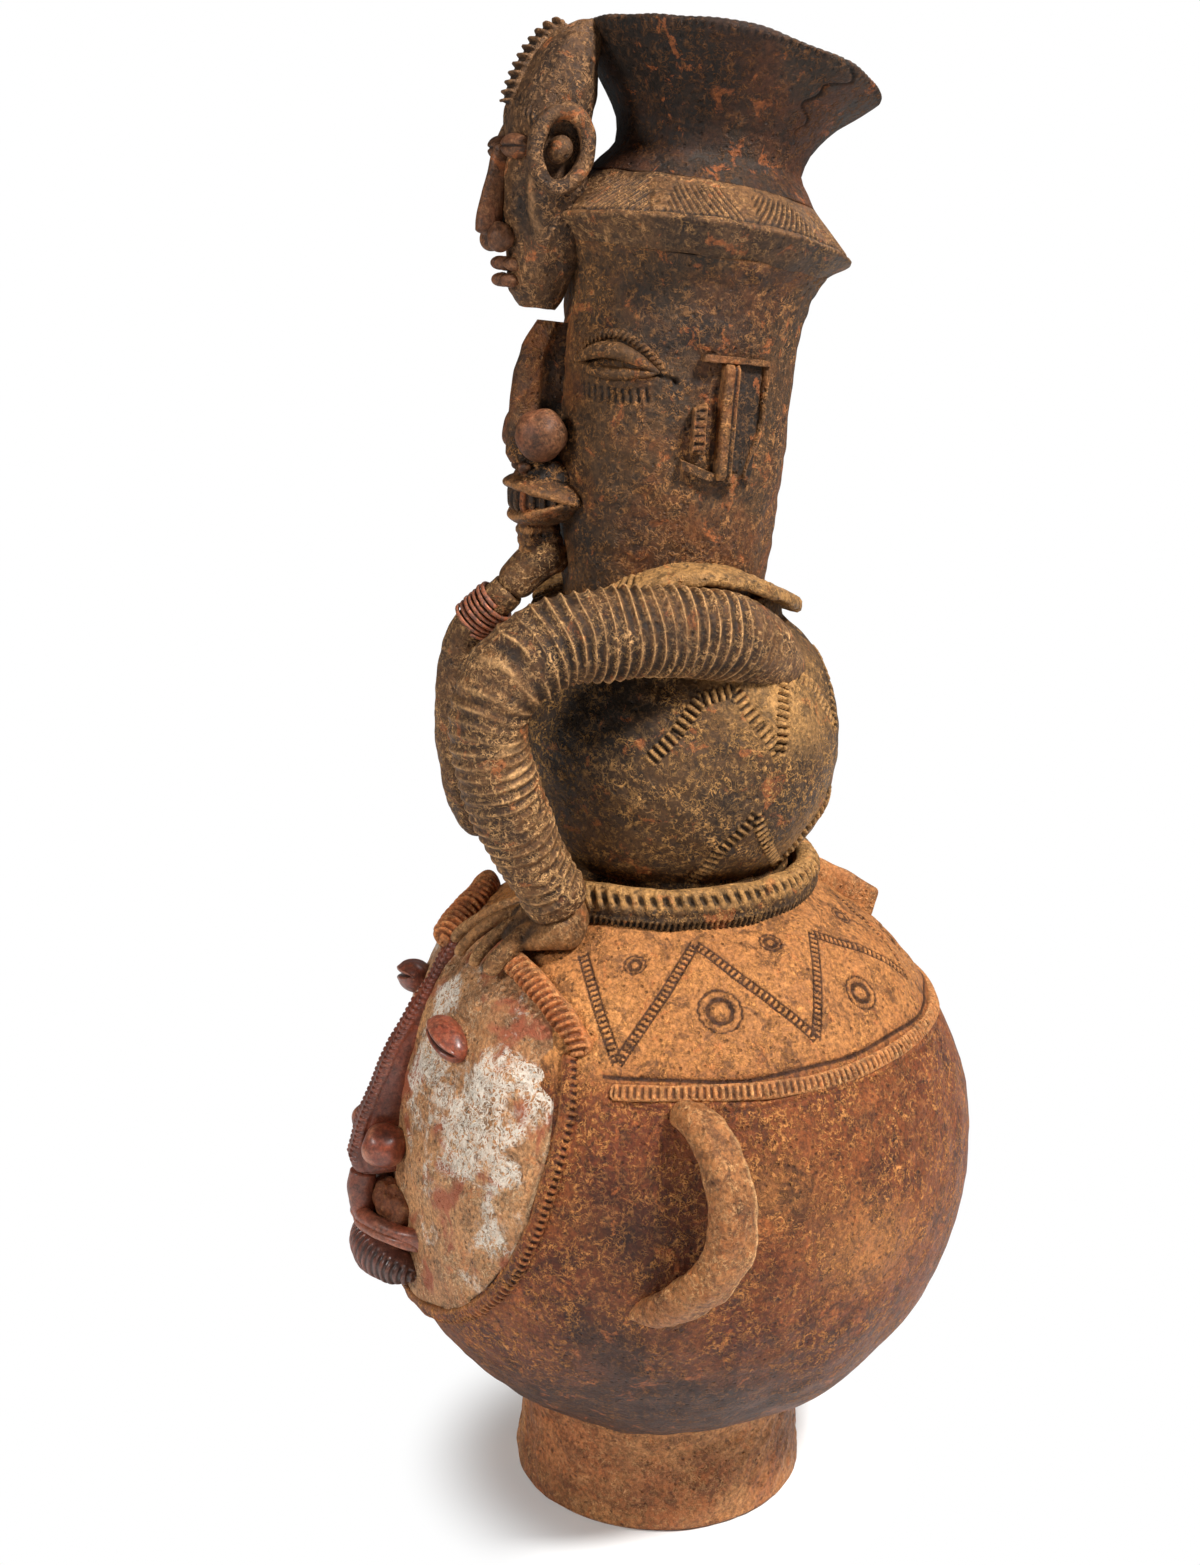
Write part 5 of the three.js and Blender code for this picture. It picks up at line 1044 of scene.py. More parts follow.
# Smoke stains with painted light and shade among them: the two dark spots at the near flank are painted shade under
# the left arm, and the pale spots on the right are painted light
torso_smoke = smoke_spots(torso_rows, on_torso, (
    (50, 26, 30, 0.9), (40, 0, 26, 0.6), (96, -4, 24, 0.35), (120, -10, 20, 0.35), (75, -20, 24, 0.3),
    (235, 0, 60, 0.5), (330, 10, 50, 0.6), (118, 22, 30, -0.8), (90, 42, 20, -0.5), (140, -30, 24, -0.5),
))
clay_piece(
    "torso", torso_rows, torso_clay, "torso_pot", "torso", cut=torso_cut + torso_flaw,
    worn=np.where(torso_cut < 0, 0.42, 1.1) * torso_cut + flank * 0.6, smoke=torso_smoke,
)


# Collar
# A flange of clay round the neck that rises over the shoulders like the edge of a cape. Its
# front is combed with slanting notches, its back edge is thick and pitted.
def collar_height(turn):
    return 515 + 6.8 + 26 * np.sin(turn) ** 2 * (1 + 0.12 * np.cos(turn))


collar_turn = full_turn(620)
collar_level = collar_height(collar_turn)
collar_reach = 73.5 + 1.2 * np.sin(3 * collar_turn + 1) + 0.8 * np.sin(7 * collar_turn)
collar_rows = []
for reach, rise in (
    (-22, -4), (-16, -4.4), (-10, -5.2), (-5, -6.3), (-2, -7), (-0.4, -6.2), (0, -4.4), (-0.3, -2),
    (-1.4, -0.2), (-3.2, 0.6), (-6, 1.4), (-9, 2.2), (-12, 2.9), (-16, 3.6), (-22, 4),
):
    radius = collar_reach + reach
    collar_rows.append(np.stack([
        radius * np.sin(collar_turn), -radius * np.cos(collar_turn), collar_level + rise,
    ], -1))
collar_rows = np.array(collar_rows)
comb_turn = np.degrees(collar_turn)[None, :]
comb_off = (comb_turn + 180) % 360 - 180
comb_row = np.arange(15)[:, None]
comb = marks(comb_off * 1.28 + 0.55 * comb_row, 4.6, 0.7) * smoothstep(66, 56, np.abs(comb_off))
comb = comb * smoothstep(6, 8, comb_row) * smoothstep(14, 12, comb_row)
collar_cut = -1.9 * comb
clay_piece(
    "collar_flange", collar_rows, torso_clay, "collar", "arm", cut=collar_cut,
    uneven=[(0.6, 18, 23), (0.3, 6, 24)], ring=True, worn=collar_cut * 0.6 + 0.2, smoke=-0.6,
)

# Left arm
# A heavy arm bent at a round elbow and cut from shoulder to wrist with rings, like a stack of
# bracelets: sharp pale crests with valleys between, fading out at the shoulder. The valleys on
# the arm's shaded side are darkened as painted shade, and two painted highlights lie on the arm.
arm_clay = clay_material(
    "arm_clay", (100, 66, 35), (80, 50, 27), (222, 170, 112), (32, 22, 15),
    amounts=(0.7, 0.7, 0.3, 0.55),
)
def arm_size(share, root, wrist):
    upper = mixed(root, 22.6, smoothstep(0, 0.22, share))
    return mixed(mixed(upper, 19.8, smoothstep(0.48, 0.66, share)), wrist, smoothstep(0.78, 0.97, share))


arm_rows, arm_run, arm_angle = swept([
    (36, 54, 482), (52, 43, 497), (66, 26, 509), (76, 4, 517), (82, -22, 521.5), (84.5, -52, 522), (85, -82, 518.5),
    (83, -106, 503), (78, -115, 476), (72.5, -108, 444), (67.5, -96, 414), (63, -82, 388), (60, -73, 372),
], 1100, 84, (1, 0, 0), lambda share: arm_size(share, 15, 16.8), lambda share: arm_size(share, 17, 16.2),
    round_ends=(16, 5))
arm_length = arm_run[-1, 0]
rib_start = 52
rib_phase = arm_run - rib_start + 1.1 * np.sin(arm_angle * 2 + arm_run / 37)
rib_phase = rib_phase + 0.7 * handwork(arm_rows, 34, 25)
rib_pitch = mixed(5.7, 6.3, smoothstep(170, 210, arm_run))
rib_depth = smoothstep(rib_start - 14, rib_start + 22, arm_run)
rib_depth = rib_depth * smoothstep(arm_length - 5, arm_length - 16, arm_run)
rib_depth = rib_depth * mixed(1.0, 0.62, smoothstep(178, 205, arm_run))
rib_depth = rib_depth * (0.82 + 0.3 * handwork(arm_rows, 22, 46))
arm_rib = 1 - np.abs(np.sin(math.pi * rib_phase / rib_pitch))
arm_rib = mixed(arm_rib ** 1.25, arm_rib ** 0.6, smoothstep(175, 205, arm_run))
wrist_roll = mound(arm_run - arm_length + 11, 4.5)
arm_relief = rib_depth * (2.3 * arm_rib - 1.0) + 1.3 * wrist_roll
# Painted highlights: two small pale spots, put into the wear mark
arm_painted_highlight = np.exp(-np.minimum((arm_run - 225) ** 2 + 110 * (arm_angle - 1.9) ** 2,
                               (arm_run - 243) ** 2 + 110 * (arm_angle - 1.95) ** 2) / 14)
# Painted shade: the valleys between the rings darkened on one side of the arm, and the whole arm a little
arm_valley_painted_shade = rib_depth * (0.55 - 1.1 * arm_rib) * smoothstep(-0.3, 0.8, -np.cos(arm_angle + 0.4)) + 0.15
clay_piece(
    "arm_left", arm_rows, arm_clay, "left_arm", "arm", cut=arm_relief, uneven=[(0.4, 20, 26)],
    worn=rib_depth * (1.7 * arm_rib - 0.75) + 0.9 * arm_painted_highlight, smoke=np.clip(arm_valley_painted_shade, 0, 1),
)


# Left hand
# A flat hand laid on the forehead of the big face, its fingers rolled separately and smeared
# onto the palm. It is modelled as one lump of clay from rolls and smoothed.
def lump_of(name, rolls, grain_size, smoothing):
    parts = [mould(f"{name}_{k}", rows) for k, rows in enumerate(rolls)]
    target = parts[0]
    shape = bmesh.new()
    for part in parts:
        shape.from_mesh(part.data)
    shape.to_mesh(target.data)
    shape.free()
    for part in parts[1:]:
        bpy.data.objects.remove(part)
    remesh = target.modifiers.new("knead", "REMESH")
    remesh.mode = "VOXEL"
    remesh.voxel_size = grain_size * 0.001
    soften = target.modifiers.new("soften", "SMOOTH")
    soften.factor = 0.6
    soften.iterations = smoothing
    ready = bpy.data.meshes.new_from_object(target.evaluated_get(bpy.context.evaluated_depsgraph_get()))
    ready.shade_smooth()
    bpy.data.objects.remove(target)
    total = len(ready.vertices)
    pairs = np.zeros(len(ready.edges) * 2, int)
    place = np.zeros(total * 3)
    facing = np.zeros(total * 3)
    ready.edges.foreach_get("vertices", pairs)
    ready.vertices.foreach_get("co", place)
    ready.vertices.foreach_get("normal", facing)
    place, facing = place.reshape(-1, 3) * 1000, facing.reshape(-1, 3)
    ends = np.concatenate([pairs.reshape(-1, 2), pairs.reshape(-1, 2)[:, ::-1]]).T
    near_count = np.bincount(ends[0], minlength=total)
    toward = np.sum((place[ends[1]] - place[ends[0]]) * facing[ends[0]], 1)
    hollow = np.bincount(ends[0], toward, total) / near_count
    for _ in range(8):
        hollow = (hollow + np.bincount(ends[0], hollow[ends[1]], total)) / (near_count + 1)
    relief = ready.attributes.new("relief", "FLOAT", "POINT")
    relief.data.foreach_set("value", np.clip(-hollow / 0.05 - 0.55, -1.1, 0.5))
    made = bpy.data.objects.new(name, ready)
    bpy.context.scene.collection.objects.link(made)
    return made


def roll(points, radius, tip, flat=1.0, facing=from_globe, count=60, sides=26):
    size = lambda share: mixed(radius, tip, share)
    return swept(points, count, sides, facing, size, lambda share: flat * size(share), 2.1,
                 round_ends=(radius * 0.9, tip * 0.9))[0]


hand_clay = clay_material(
    "hand_clay", (138, 92, 50), (104, 68, 38), (206, 158, 106), (38, 27, 19),
    amounts=(0.7, 0.5, 0.4, 0.5),
)
palm_path = [(66, -63, 369), (60, -70, 366), (52, -80, 362.5), (44, -88, 360.5), (37, -93, 359)]
palm = swept(
    palm_path, 80, 40, from_globe, 19, lambda share: mixed(14, 6.5, smoothstep(0, 0.6, share)), 2.4,
    round_ends=(9, 7),
)[0]
fingers = [palm]
for knuckle, middle, tip, radius in (
    ((54, -89, 358), (57.5, -101, 351), (56.5, -110, 341), 6.4),
    ((43, -91, 361), (44, -105, 354.5), (41.5, -116, 341), 4.3),
    ((34, -91, 363.5), (31.5, -106, 357), (24, -120.5, 341), 4.1),
    ((25.5, -90.5, 365), (19.5, -104, 358.5), (8, -119.5, 343.5), 3.9),
):
    low = np.array(tip) + np.array([-0.5, -1.0, -4.5])
    root = np.array(knuckle) + np.array([4, 12, 1])
    fingers.append(roll([root, knuckle, middle, tip, low], radius, radius * 0.78))
left_hand = lump_of("hand_left", fingers, 0.9, 4)
dress(left_hand, hand_clay, "left_hand")


# Right arm
# A thinner, plain arm rolled from one length of clay. It goes down to an elbow on the globe and
# back up to the chin.
right_rows, right_run, right_angle = swept([
    (-50, 12, 503), (-76, -2, 503), (-93, -27, 480), (-91, -58, 430), (-72, -84, 394), (-56, -92, 394),
    (-46, -100, 410), (-37, -106, 438), (-29, -109, 472), (-23.5, -109, 497), (-19.5, -105, 509),
    (-12.5, -95.5, 520.5), (-9, -90, 526), (-5, -83.5, 533),
], 420, 48, (1, 0, 0), lambda share: mixed(mixed(16.4, 14, smoothstep(0.3, 0.5, share)), 9.6,
                                           smoothstep(0.72, 0.9, share)),
    lambda share: mixed(mixed(16.4, 14, smoothstep(0.3, 0.5, share)), 9.6, smoothstep(0.72, 0.9, share)),
    round_ends=(12, 4))
clay_piece(
    "arm_right", right_rows, arm_clay, "right_arm", "arm", uneven=[(0.7, 26, 27), (0.25, 8, 28)], worn=0.0,
    smoke=0.35,
)


# Beard and right hand
# A bar of clay hangs from the lower lip, and the right hand is the plain blunt end of the arm,
# pressed round the bar's foot under the chin.
beard_rows = swept([(0, -70, 572), (0, -70, 563), (0, -68, 554), (0, -64, 546), (0, -60, 540)], 120, 48,
                   (1, 0, 0), 11.0, 7.8, 2.6, round_ends=(4, 4))[0]
beard_ridge = 0.6 * marks(beard_rows[..., 2], 5.5, 0.9)
head_clay = clay_material(
    "head_clay", (72, 48, 25), (118, 64, 28), (176, 122, 72), (26, 19, 13),
    amounts=(0.6, 0.7, 0.75, 0.6),
)
clay_piece(
    "beard_bar", beard_rows, head_clay, "beard", "head", cut=beard_ridge, uneven=[(0.5, 12, 29)], smoke=0.3,
)
fist = [
    roll([(-7, -86.5, 529.5), (-4.5, -81, 536), (-2, -73, 544.5), (0, -63, 552), (0, -58, 556)], 10.2, 12.2, 0.95,
         (1, 0, 0)),
]
right_hand = lump_of("hand_right", fist, 0.8, 4)
dress(right_hand, arm_clay, "right_hand")


# Bracelet
# Soft copper wire wound seven times round the right wrist after the firing, gone matt and
# red-brown with age.
wire_centre, wire_run = paced([
    (-23.5, -109, 497), (-19.5, -105, 509), (-12.5, -95.5, 520.5), (-9, -90, 526), (-5, -83.5, 533),
], 400)
wire_along = unit(np.gradient(wire_centre, axis=0))
wire_start = np.linalg.norm(wire_centre - np.array([-18.5, -103.4, 511.4]), axis=1).argmin()
wire_steps = np.arange(0, 7 * 40 + 1)
wire_at = wire_run[wire_start] + wire_steps / 40 * 3.05
wire_spine = np.stack([np.interp(wire_at, wire_run, wire_centre[:, k]) for k in range(3)], -1)
wire_way = np.stack([np.interp(wire_at, wire_run, wire_along[:, k]) for k in range(3)], -1)
wire_out = unit(np.array([1.0, 0, 0]) - wire_way * wire_way[:, :1])
wire_side = np.cross(wire_way, wire_out)
wire_turn = wire_steps / 40 * 2 * math.pi
wire_reach = 11.2 + 0.25 * np.sin(wire_turn * 0.37 + 1)
wire_path = wire_spine + wire_out * (wire_reach * np.cos(wire_turn))[:, None]
wire_path = wire_path + wire_side * (wire_reach * np.sin(wire_turn))[:, None]
wire_rows = swept(wire_path[::2], 900, 12, (0.31, -0.5, 0.8), 1.15, 1.15, round_ends=(1, 1))[0]
bracelet = mould("bracelet", wire_rows, 0.08 * handwork(wire_rows, 4, 30))
wire_material = bpy.data.materials.new("aged_wire")
wire_material.use_nodes = True
wire_tree = wire_material.node_tree
wire_tree.nodes.clear()
wire_place = new_node(wire_tree, "ShaderNodeTexCoord").outputs["Object"]
wire_crust = ramp(wire_tree, noise(wire_tree, wire_place, 420.0, 5.0, 0.65, 0.5), 0.4, 0.62)
wire_fine = noise(wire_tree, wire_place, 1600.0, 3.0)
wire_shader = new_node(wire_tree, "ShaderNodeBsdfPrincipled", {
    "Base Color": blended(wire_tree, wire_crust, colour(152, 86, 54), colour(84, 50, 34)),
    "Roughness": ramp(wire_tree, wire_crust, 0.0, 1.0, 0.45, 0.75),
    "Metallic": ramp(wire_tree, wire_crust, 0.0, 0.6, 0.35, 0.0),
    "Normal": new_node(wire_tree, "ShaderNodeBump", {
        "Height": wire_fine, "Distance": 0.0004, "Strength": 0.6,
    }).outputs["Normal"],
})
new_node(wire_tree, "ShaderNodeOutputMaterial", {"Surface": wire_shader.outputs[0]})
dress(bracelet, wire_material, "wrist_bracelet")


# Head
# A tall hollow cylinder that leans back, dark from smoke with orange chips under the brim. Below
# each eye a row of short lashes is incised.
head_base = 528.8
lean_start = 8
lean_radius = 1100
head_profile = [
    (0, 54.8), (8, 55.4), (39, 58.3), (62, 60.8), (85, 61.6), (128, 61.2), (151, 62.5), (162, 64.8), (174, 72),
]
head_columns = 430


def leaned(points):
    x, y, z = points[..., 0], points[..., 1], points[..., 2]
    turn = np.arctan2(x, -y)
    lift = smoothstep(175, 187, z) * smoothstep(49.3, 83, np.hypot(x, y))
    height = z - 4 * lift * np.cos(2 * turn)
    bend = np.maximum(0, height - lean_start) / lean_radius
    reach = lean_radius - y
    return np.stack([
        x, np.where(height > lean_start, lean_radius - reach * np.cos(bend), y),
        head_base + np.where(height > lean_start, lean_start + reach * np.sin(bend), height),
    ], -1)


def on_head(azimuth, height, out=0.0):
    turn = np.radians(azimuth)
    reach = profile_at(height, head_profile) + out
    return np.stack(np.broadcast_arrays(reach * np.sin(turn), -reach * np.cos(turn), height), -1)


# Point on the leaning head
def on_lean(azimuth, height, out=0.0):
    return leaned(on_head(azimuth, height, out))


head_level = np.linspace(-1, 174.5, 190)
head_turn = np.arange(head_columns) / head_columns * 360
head_skin = on_head(head_turn[None, :], head_level[:, None])
head_back = turned([(66, 175.5), (48, 176), (50, 120), (51, 60), (46, 10), (45, -1)], head_columns)
head_rows = leaned(np.concatenate([head_skin, head_back]))
head_cut = np.zeros(head_rows.shape[:2])
head_skin_cut = head_cut[:len(head_level)]
head_off = (head_turn[None, :] + 180) % 360 - 180
for side in (1, -1):
    past = side * head_off - 41
    dip = head_level[:, None] - (109.8 - 2.8 * np.cos(np.radians(past * 3.6)))
    lash = marks(past * 1.07 + dip * 0.2, 4.4, 0.5) * smoothstep(24, 20, np.abs(past))
    head_skin_cut -= 1.5 * lash * smoothstep(-8.5, -6, dip) * smoothstep(0.5, -0.5, dip)
    slit_off = head_level[:, None] - (116.2 - 0.19 * (side * head_off - 60))
    slit_held = smoothstep(58, 60, side * head_off) * smoothstep(74.5, 73, side * head_off)
    head_skin_cut -= 2.0 * mound(slit_off, 0.9) * slit_held
    corner_off = np.hypot((side * head_off - 73) * 1.05, head_level[:, None] - 112.6)
    head_skin_cut -= 2.2 * np.exp(-(corner_off / 1.6) ** 4)
head_flaw = 0.8 * handwork(head_rows, 42, 31) + 0.3 * handwork(head_rows, 12, 32)
head_smoke = smoke_spots(head_rows, on_lean, (
    (60, 150, 30, 0.8), (100, 140, 30, 0.6), (45, 40, 20, 0.5), (110, 30, 18, 0.3), (96, 95, 20, 0.5),
    (72, 18, 12, 0.8), (160, 90, 60, 0.4), (280, 80, 60, 0.5),
))
clay_piece(
    "head", head_rows, head_clay, "head_cylinder", "head", cut=head_cut + head_flaw, worn=head_cut * 0.8,
    smoke=head_smoke,
)


# Hat brim
# A sharp flange round the hat. Its sloping top is combed with fans of slanting strokes between
# plain triangles, and its lip is finely nicked.
# Turn from the front in degrees, height and reach of each point of a turned form
def around(rows):
    x, y, z = rows[..., 0], rows[..., 1], rows[..., 2]
    return np.degrees(np.arctan2(x, -y)), z, np.hypot(x, y)


brim_profile = spaced([(70.5, 173.5), (72, 174), (83.2, 185.6), (83.4, 187), (82.2, 188.3), (60, 209)], 0.9)
brim_profile += [(54, 209.4), (44, 209.2), (46, 190), (48, 175.5), (66, 173.6)]
brim_flat = turned(brim_profile, 620)
brim_off, brim_level, brim_reach = around(brim_flat)
on_top = smoothstep(188.6, 190, brim_level) * smoothstep(208, 205, brim_level) * (brim_reach > 58)
fan = (brim_off + 9) / 34
fan_share = fan % 1
fan_tilt = np.where(np.floor(fan) % 2 == 0, 1.0, -1.0)
climb = (brim_level - 188.5) / 20
stroke = marks(brim_off * 1.25 + fan_tilt * climb * 16, 3.3, 0.6)
fan_end = 0.98 - 0.32 * climb
fan_held = smoothstep(0.02, 0.06, fan_share) * smoothstep(fan_end, fan_end - 0.05, fan_share)
brim_cut = -1.15 * stroke * fan_held * on_top * smoothstep(0.92, 0.8, climb)
lip_line = mound(brim_level - 189.4, 0.55) * (brim_reach > 70)
brim_cut = brim_cut - 1.2 * lip_line * (0.55 + 0.45 * marks(brim_off * 1.4, 3.1, 0.9))
brim_rows = leaned(brim_flat)
brim_clay = clay_material(
    "brim_clay", (104, 70, 40), (80, 52, 30), (204, 152, 98), (34, 24, 16),
    amounts=(0.75, 0.55, 0.35, 0.5),
)
# The underside of the brim is darkened as painted shade
under_brim = smoothstep(187, 185, brim_level) * (brim_reach > 69)
clay_piece(
    "brim", brim_rows, brim_clay, "hat_brim", "head", cut=brim_cut, uneven=[(0.45, 24, 33)], ring=True,
    worn=brim_cut * 0.7, smoke=0.6 * under_brim,
)


# Mouth funnel
# The open mouth of the vessel: a flaring funnel, smoked dark with rusty patches, its rim pricked
# along the edge and cracked at the back left.
funnel_profile = spaced([
    (58.5, 207.5), (60, 209.3), (55, 216), (51.5, 220), (49.3, 224), (49.6, 230), (51, 236), (54.2, 242),
    (58, 247.5), (62.6, 253.4), (67.8, 259), (73.4, 265), (78.6, 270.8), (80.6, 273.4), (80.8, 275.4),
    (79.5, 277), (76.6, 277.4), (73.6, 276.6), (72.4, 275), (66, 266), (58, 256), (48, 244), (42, 234),
    (39.5, 223), (41, 214), (43.5, 209.4),
], 1.0)
funnel_flat = turned(funnel_profile, 460)
funnel_off, funnel_level, funnel_reach = around(funnel_flat)
funnel_rows = leaned(funnel_flat)
edge_outside = mound(funnel_level - 273.2, 1.3) * (funnel_reach > 78)
edge_top = mound(funnel_reach - 78, 1.3) * (funnel_level > 276)
pricks = np.maximum(edge_outside, edge_top)
pricks = pricks * marks(funnel_off * 1.4 + 1.2 * np.sin(np.radians(funnel_off * 5)), 4.6, 0.5)
funnel_cut = -1.1 * pricks
crack_off = funnel_off - (118 + 4.5 * np.sin(funnel_level / 4.2) + 2.5 * np.sin(funnel_level / 1.7))
crack = mound(crack_off * 1.3, 0.9) * smoothstep(238, 250, funnel_level)
funnel_cut = funnel_cut - 1.6 * crack * (funnel_reach > 48)
funnel_clay = clay_material(
    "funnel_clay", (42, 29, 18), (80, 42, 21), (128, 84, 48), (22, 16, 11),
    amounts=(0.7, 0.55, 0.6, 0.5),
)
# Painted shadow of the small head, darkening the flare beside it
funnel_smoke = 0.55 * smoothstep(75, 20, np.abs(funnel_off - 30)) * smoothstep(218, 226, funnel_level)
clay_piece(
    "funnel", funnel_rows, funnel_clay, "mouth_funnel", "head", cut=funnel_cut, uneven=[(0.7, 38, 34)],
    worn=funnel_cut * 0.8, smoke=funnel_smoke,
)


# Face of the head
# Nose bar, nostril balls, lids, brows and lips are rolled and luted on the cylinder, then cut
# with a stick: hatching on the brows, teeth in the open mouth.
def from_axis(points):
    return points * np.array([1, 1, 0])


bridge_level = np.array([*np.linspace(66, 70, 8), *np.linspace(70.5, 133, 130), *np.linspace(133.3, 134.6, 4)])
bridge_front = profile_at(bridge_level, [
    (66, 86), (70, 88.5), (80, 89.3), (95, 88.4), (110, 86.8), (122, 84.2), (134.6, 77.5),
])
bridge_back = profile_at(bridge_level, [(66, 52), (134.6, 55)])
bridge_x, bridge_y = squared(full_turn(132, 0.5), 0.66)
bridge_x = bridge_x * mixed(0.42, 1, smoothstep(0.0, 0.3, bridge_y))
bridge_half = mixed(7.6, 6.2, smoothstep(72, 125, bridge_level)) * np.where(bridge_level > 133.2, 0.9, 1)
bridge_rows = leaned(upright(bridge_level, bridge_half, bridge_front, bridge_back, bridge_x, bridge_y))
# The back half of the bar, where it meets the head, is darkened as painted shade
clay_piece(
    "bridge", bridge_rows, head_clay, "head_nose", "head", uneven=[(0.45, 16, 35)], worn=0.0,
    smoke=0.9 * smoothstep(0.35, 0.0, bridge_y),
)
gloss_clay = clay_material(
    "gloss_clay", (86, 53, 32), (116, 66, 42), (160, 110, 72), (36, 26, 20),
    amounts=(0.6, 0.3, 0.4, 0.4), bump=0.0006,
)
for name, side in both_sides:
    knob_rows = leaned(ball((side * 15.5, -74.5, 80.5), (13.4, 13.4, 13.0)))
    clay_piece(
        f"nostril_knob_{name}", knob_rows, gloss_clay, f"head_nostril_{name}", "slip",
        uneven=[(0.5, 15, 36 + side)],
    )


def lid_size(share):
    return 0.8 + 3.4 * np.sin(share * math.pi) ** 0.8


for name, side in both_sides:
    share = np.linspace(-1, 1, 15)
    bow = np.cos(share * math.pi / 2)
    along = side * (41 + share * 24)
    for part, rise, out, high, deep in (("upper_lid", 8.2, 1.6, 1, 1.25), ("lower_lid", -2.6, 0.8, 0.8, 0.95)):
        lid_path = on_lean(along, 116.5 + rise * bow, 0.8 + out * bow)
        lid_rows = swept(
            lid_path, 120, 36, from_axis, lambda s: high * lid_size(s), lambda s: deep * lid_size(s), 2.2,
        )[0]
        clay_piece(
            f"{part}_roll_{name}", lid_rows, head_clay, f"head_{part}_{name}", "head",
            uneven=[(0.2, 9, 38)], worn=0.25,
        )
    arch_rows, arch_run, arch_angle = swept(
        on_lean(side * (41 + share * 27), 116 + 16.5 * np.maximum(bow, 0) ** 0.8, 0.2), 300, 26, from_axis,
        lambda s: 1.0 + 1.7 * np.sin(s * math.pi) ** 0.6, lambda s: 0.9 + 1.5 * np.sin(s * math.pi) ** 0.6, 2.4,
    )
    arch_cut = -1.0 * marks(arch_run + 0.9 * np.cos(arch_angle), 3.0, 0.7)
    arch_cut = arch_cut * smoothstep(0, 0.6, np.sin(arch_angle))
    clay_piece(
        f"brow_roll_{name}", arch_rows, head_clay, f"head_brow_{name}", "head", cut=arch_cut,
        worn=arch_cut * 0.8 + 0.35,
    )
mouth_share = np.linspace(-1, 1, 17)
mouth_bow = np.maximum(0, np.cos(mouth_share * math.pi / 2))
for name, node_name, level, rise, front, size, power, teeth in (
    ("mouth_upper", "head_upper_lip", 51, 6.0, 26.5, 5.0, 2.4, 0),
    ("mouth_wall", "head_upper_lip", 49.5, 0.4, 25.0, 9.5, 3.4, 1),
    ("mouth_lower", "head_lower_lip", 48.5, -8.4, 25.5, 5.2, 2.3, 0),
):
    reach = (front + 4) * mouth_bow ** 0.62 / 2
    mouth_rows, mouth_run, mouth_angle = swept(
        on_lean(mouth_share * 22, level + rise * mouth_bow ** 0.8, reach - 3), 300, 56, from_axis,
        lambda s: 1.4 + (size - 1.4) * np.sin(s * math.pi) ** (0.6 + 0.3 * teeth),
        lambda s: 2.2 + (front / 2 + 1) * np.maximum(0, np.sin(s * math.pi)) ** 0.62,
        power, round_ends=(3, 3),
    )
    facing_out = smoothstep(0.1, 0.5, np.sin(mouth_angle))
    tooth = marks(mouth_run, 4.0, 0.62) * facing_out * teeth
    lip_edge = mound(mouth_angle - math.pi / 2, 0.28) * (1 - teeth)
    mouth_cut = -2.0 * tooth + 0.7 * lip_edge
    clay_piece(
        name, mouth_rows, head_clay, node_name, "head", cut=mouth_cut, uneven=[(0.3, 11, 39)],
        worn=mouth_cut * 0.7 + 0.25 - 0.1 * teeth, smoke=0.75 * teeth,
    )
clay_piece(
    "muzzle", ball((0, -61, 590.5), (17, 22.5, 11.5)), head_clay, "head_upper_lip", "head",
    uneven=[(0.6, 10, 48)], worn=0.0, smoke=0.35,
)
for side in (1, -1):
    pea_rows = leaned(ball((side * 8, -80.5, 64.5), (3.6, 3.6, 3.2), 40, 24))
    clay_piece(
        f"pea_{side + 1}", pea_rows, gloss_clay, "head_upper_lip", "head",
        uneven=[(0.5, 5, 47)], smoke=0.5,
    )


# Ears of the head
# Each ear is built of strips: a back flap, a thin ledge along its top, a curved ledge at the
# foot and a tall bar down the middle, with a small notched block in front of it.
plate_steps = 26


# Rows of a strip that lies on the head between two heights, thinner along its edges
def plate(low_edge, high_edge, turns, thickness, inset=4.0):
    rows = []
    for k, azimuth in enumerate(turns):
        low = low_edge[k] if np.ndim(low_edge) else low_edge
        high = high_edge[k] if np.ndim(high_edge) else high_edge
        levels = np.linspace(low, high, plate_steps)
        proud = np.full(plate_steps, thickness * (1.0 if 0 < k < len(turns) - 1 else 0.55))
        proud[[0, -1]] *= 0.72
        front = [on_head(azimuth, level, out) for level, out in zip(levels, proud)]
        back = [on_head(azimuth, level, -inset) for level in levels[::-6]]
        rows.append(front + back)
    return leaned(np.array(rows, float))


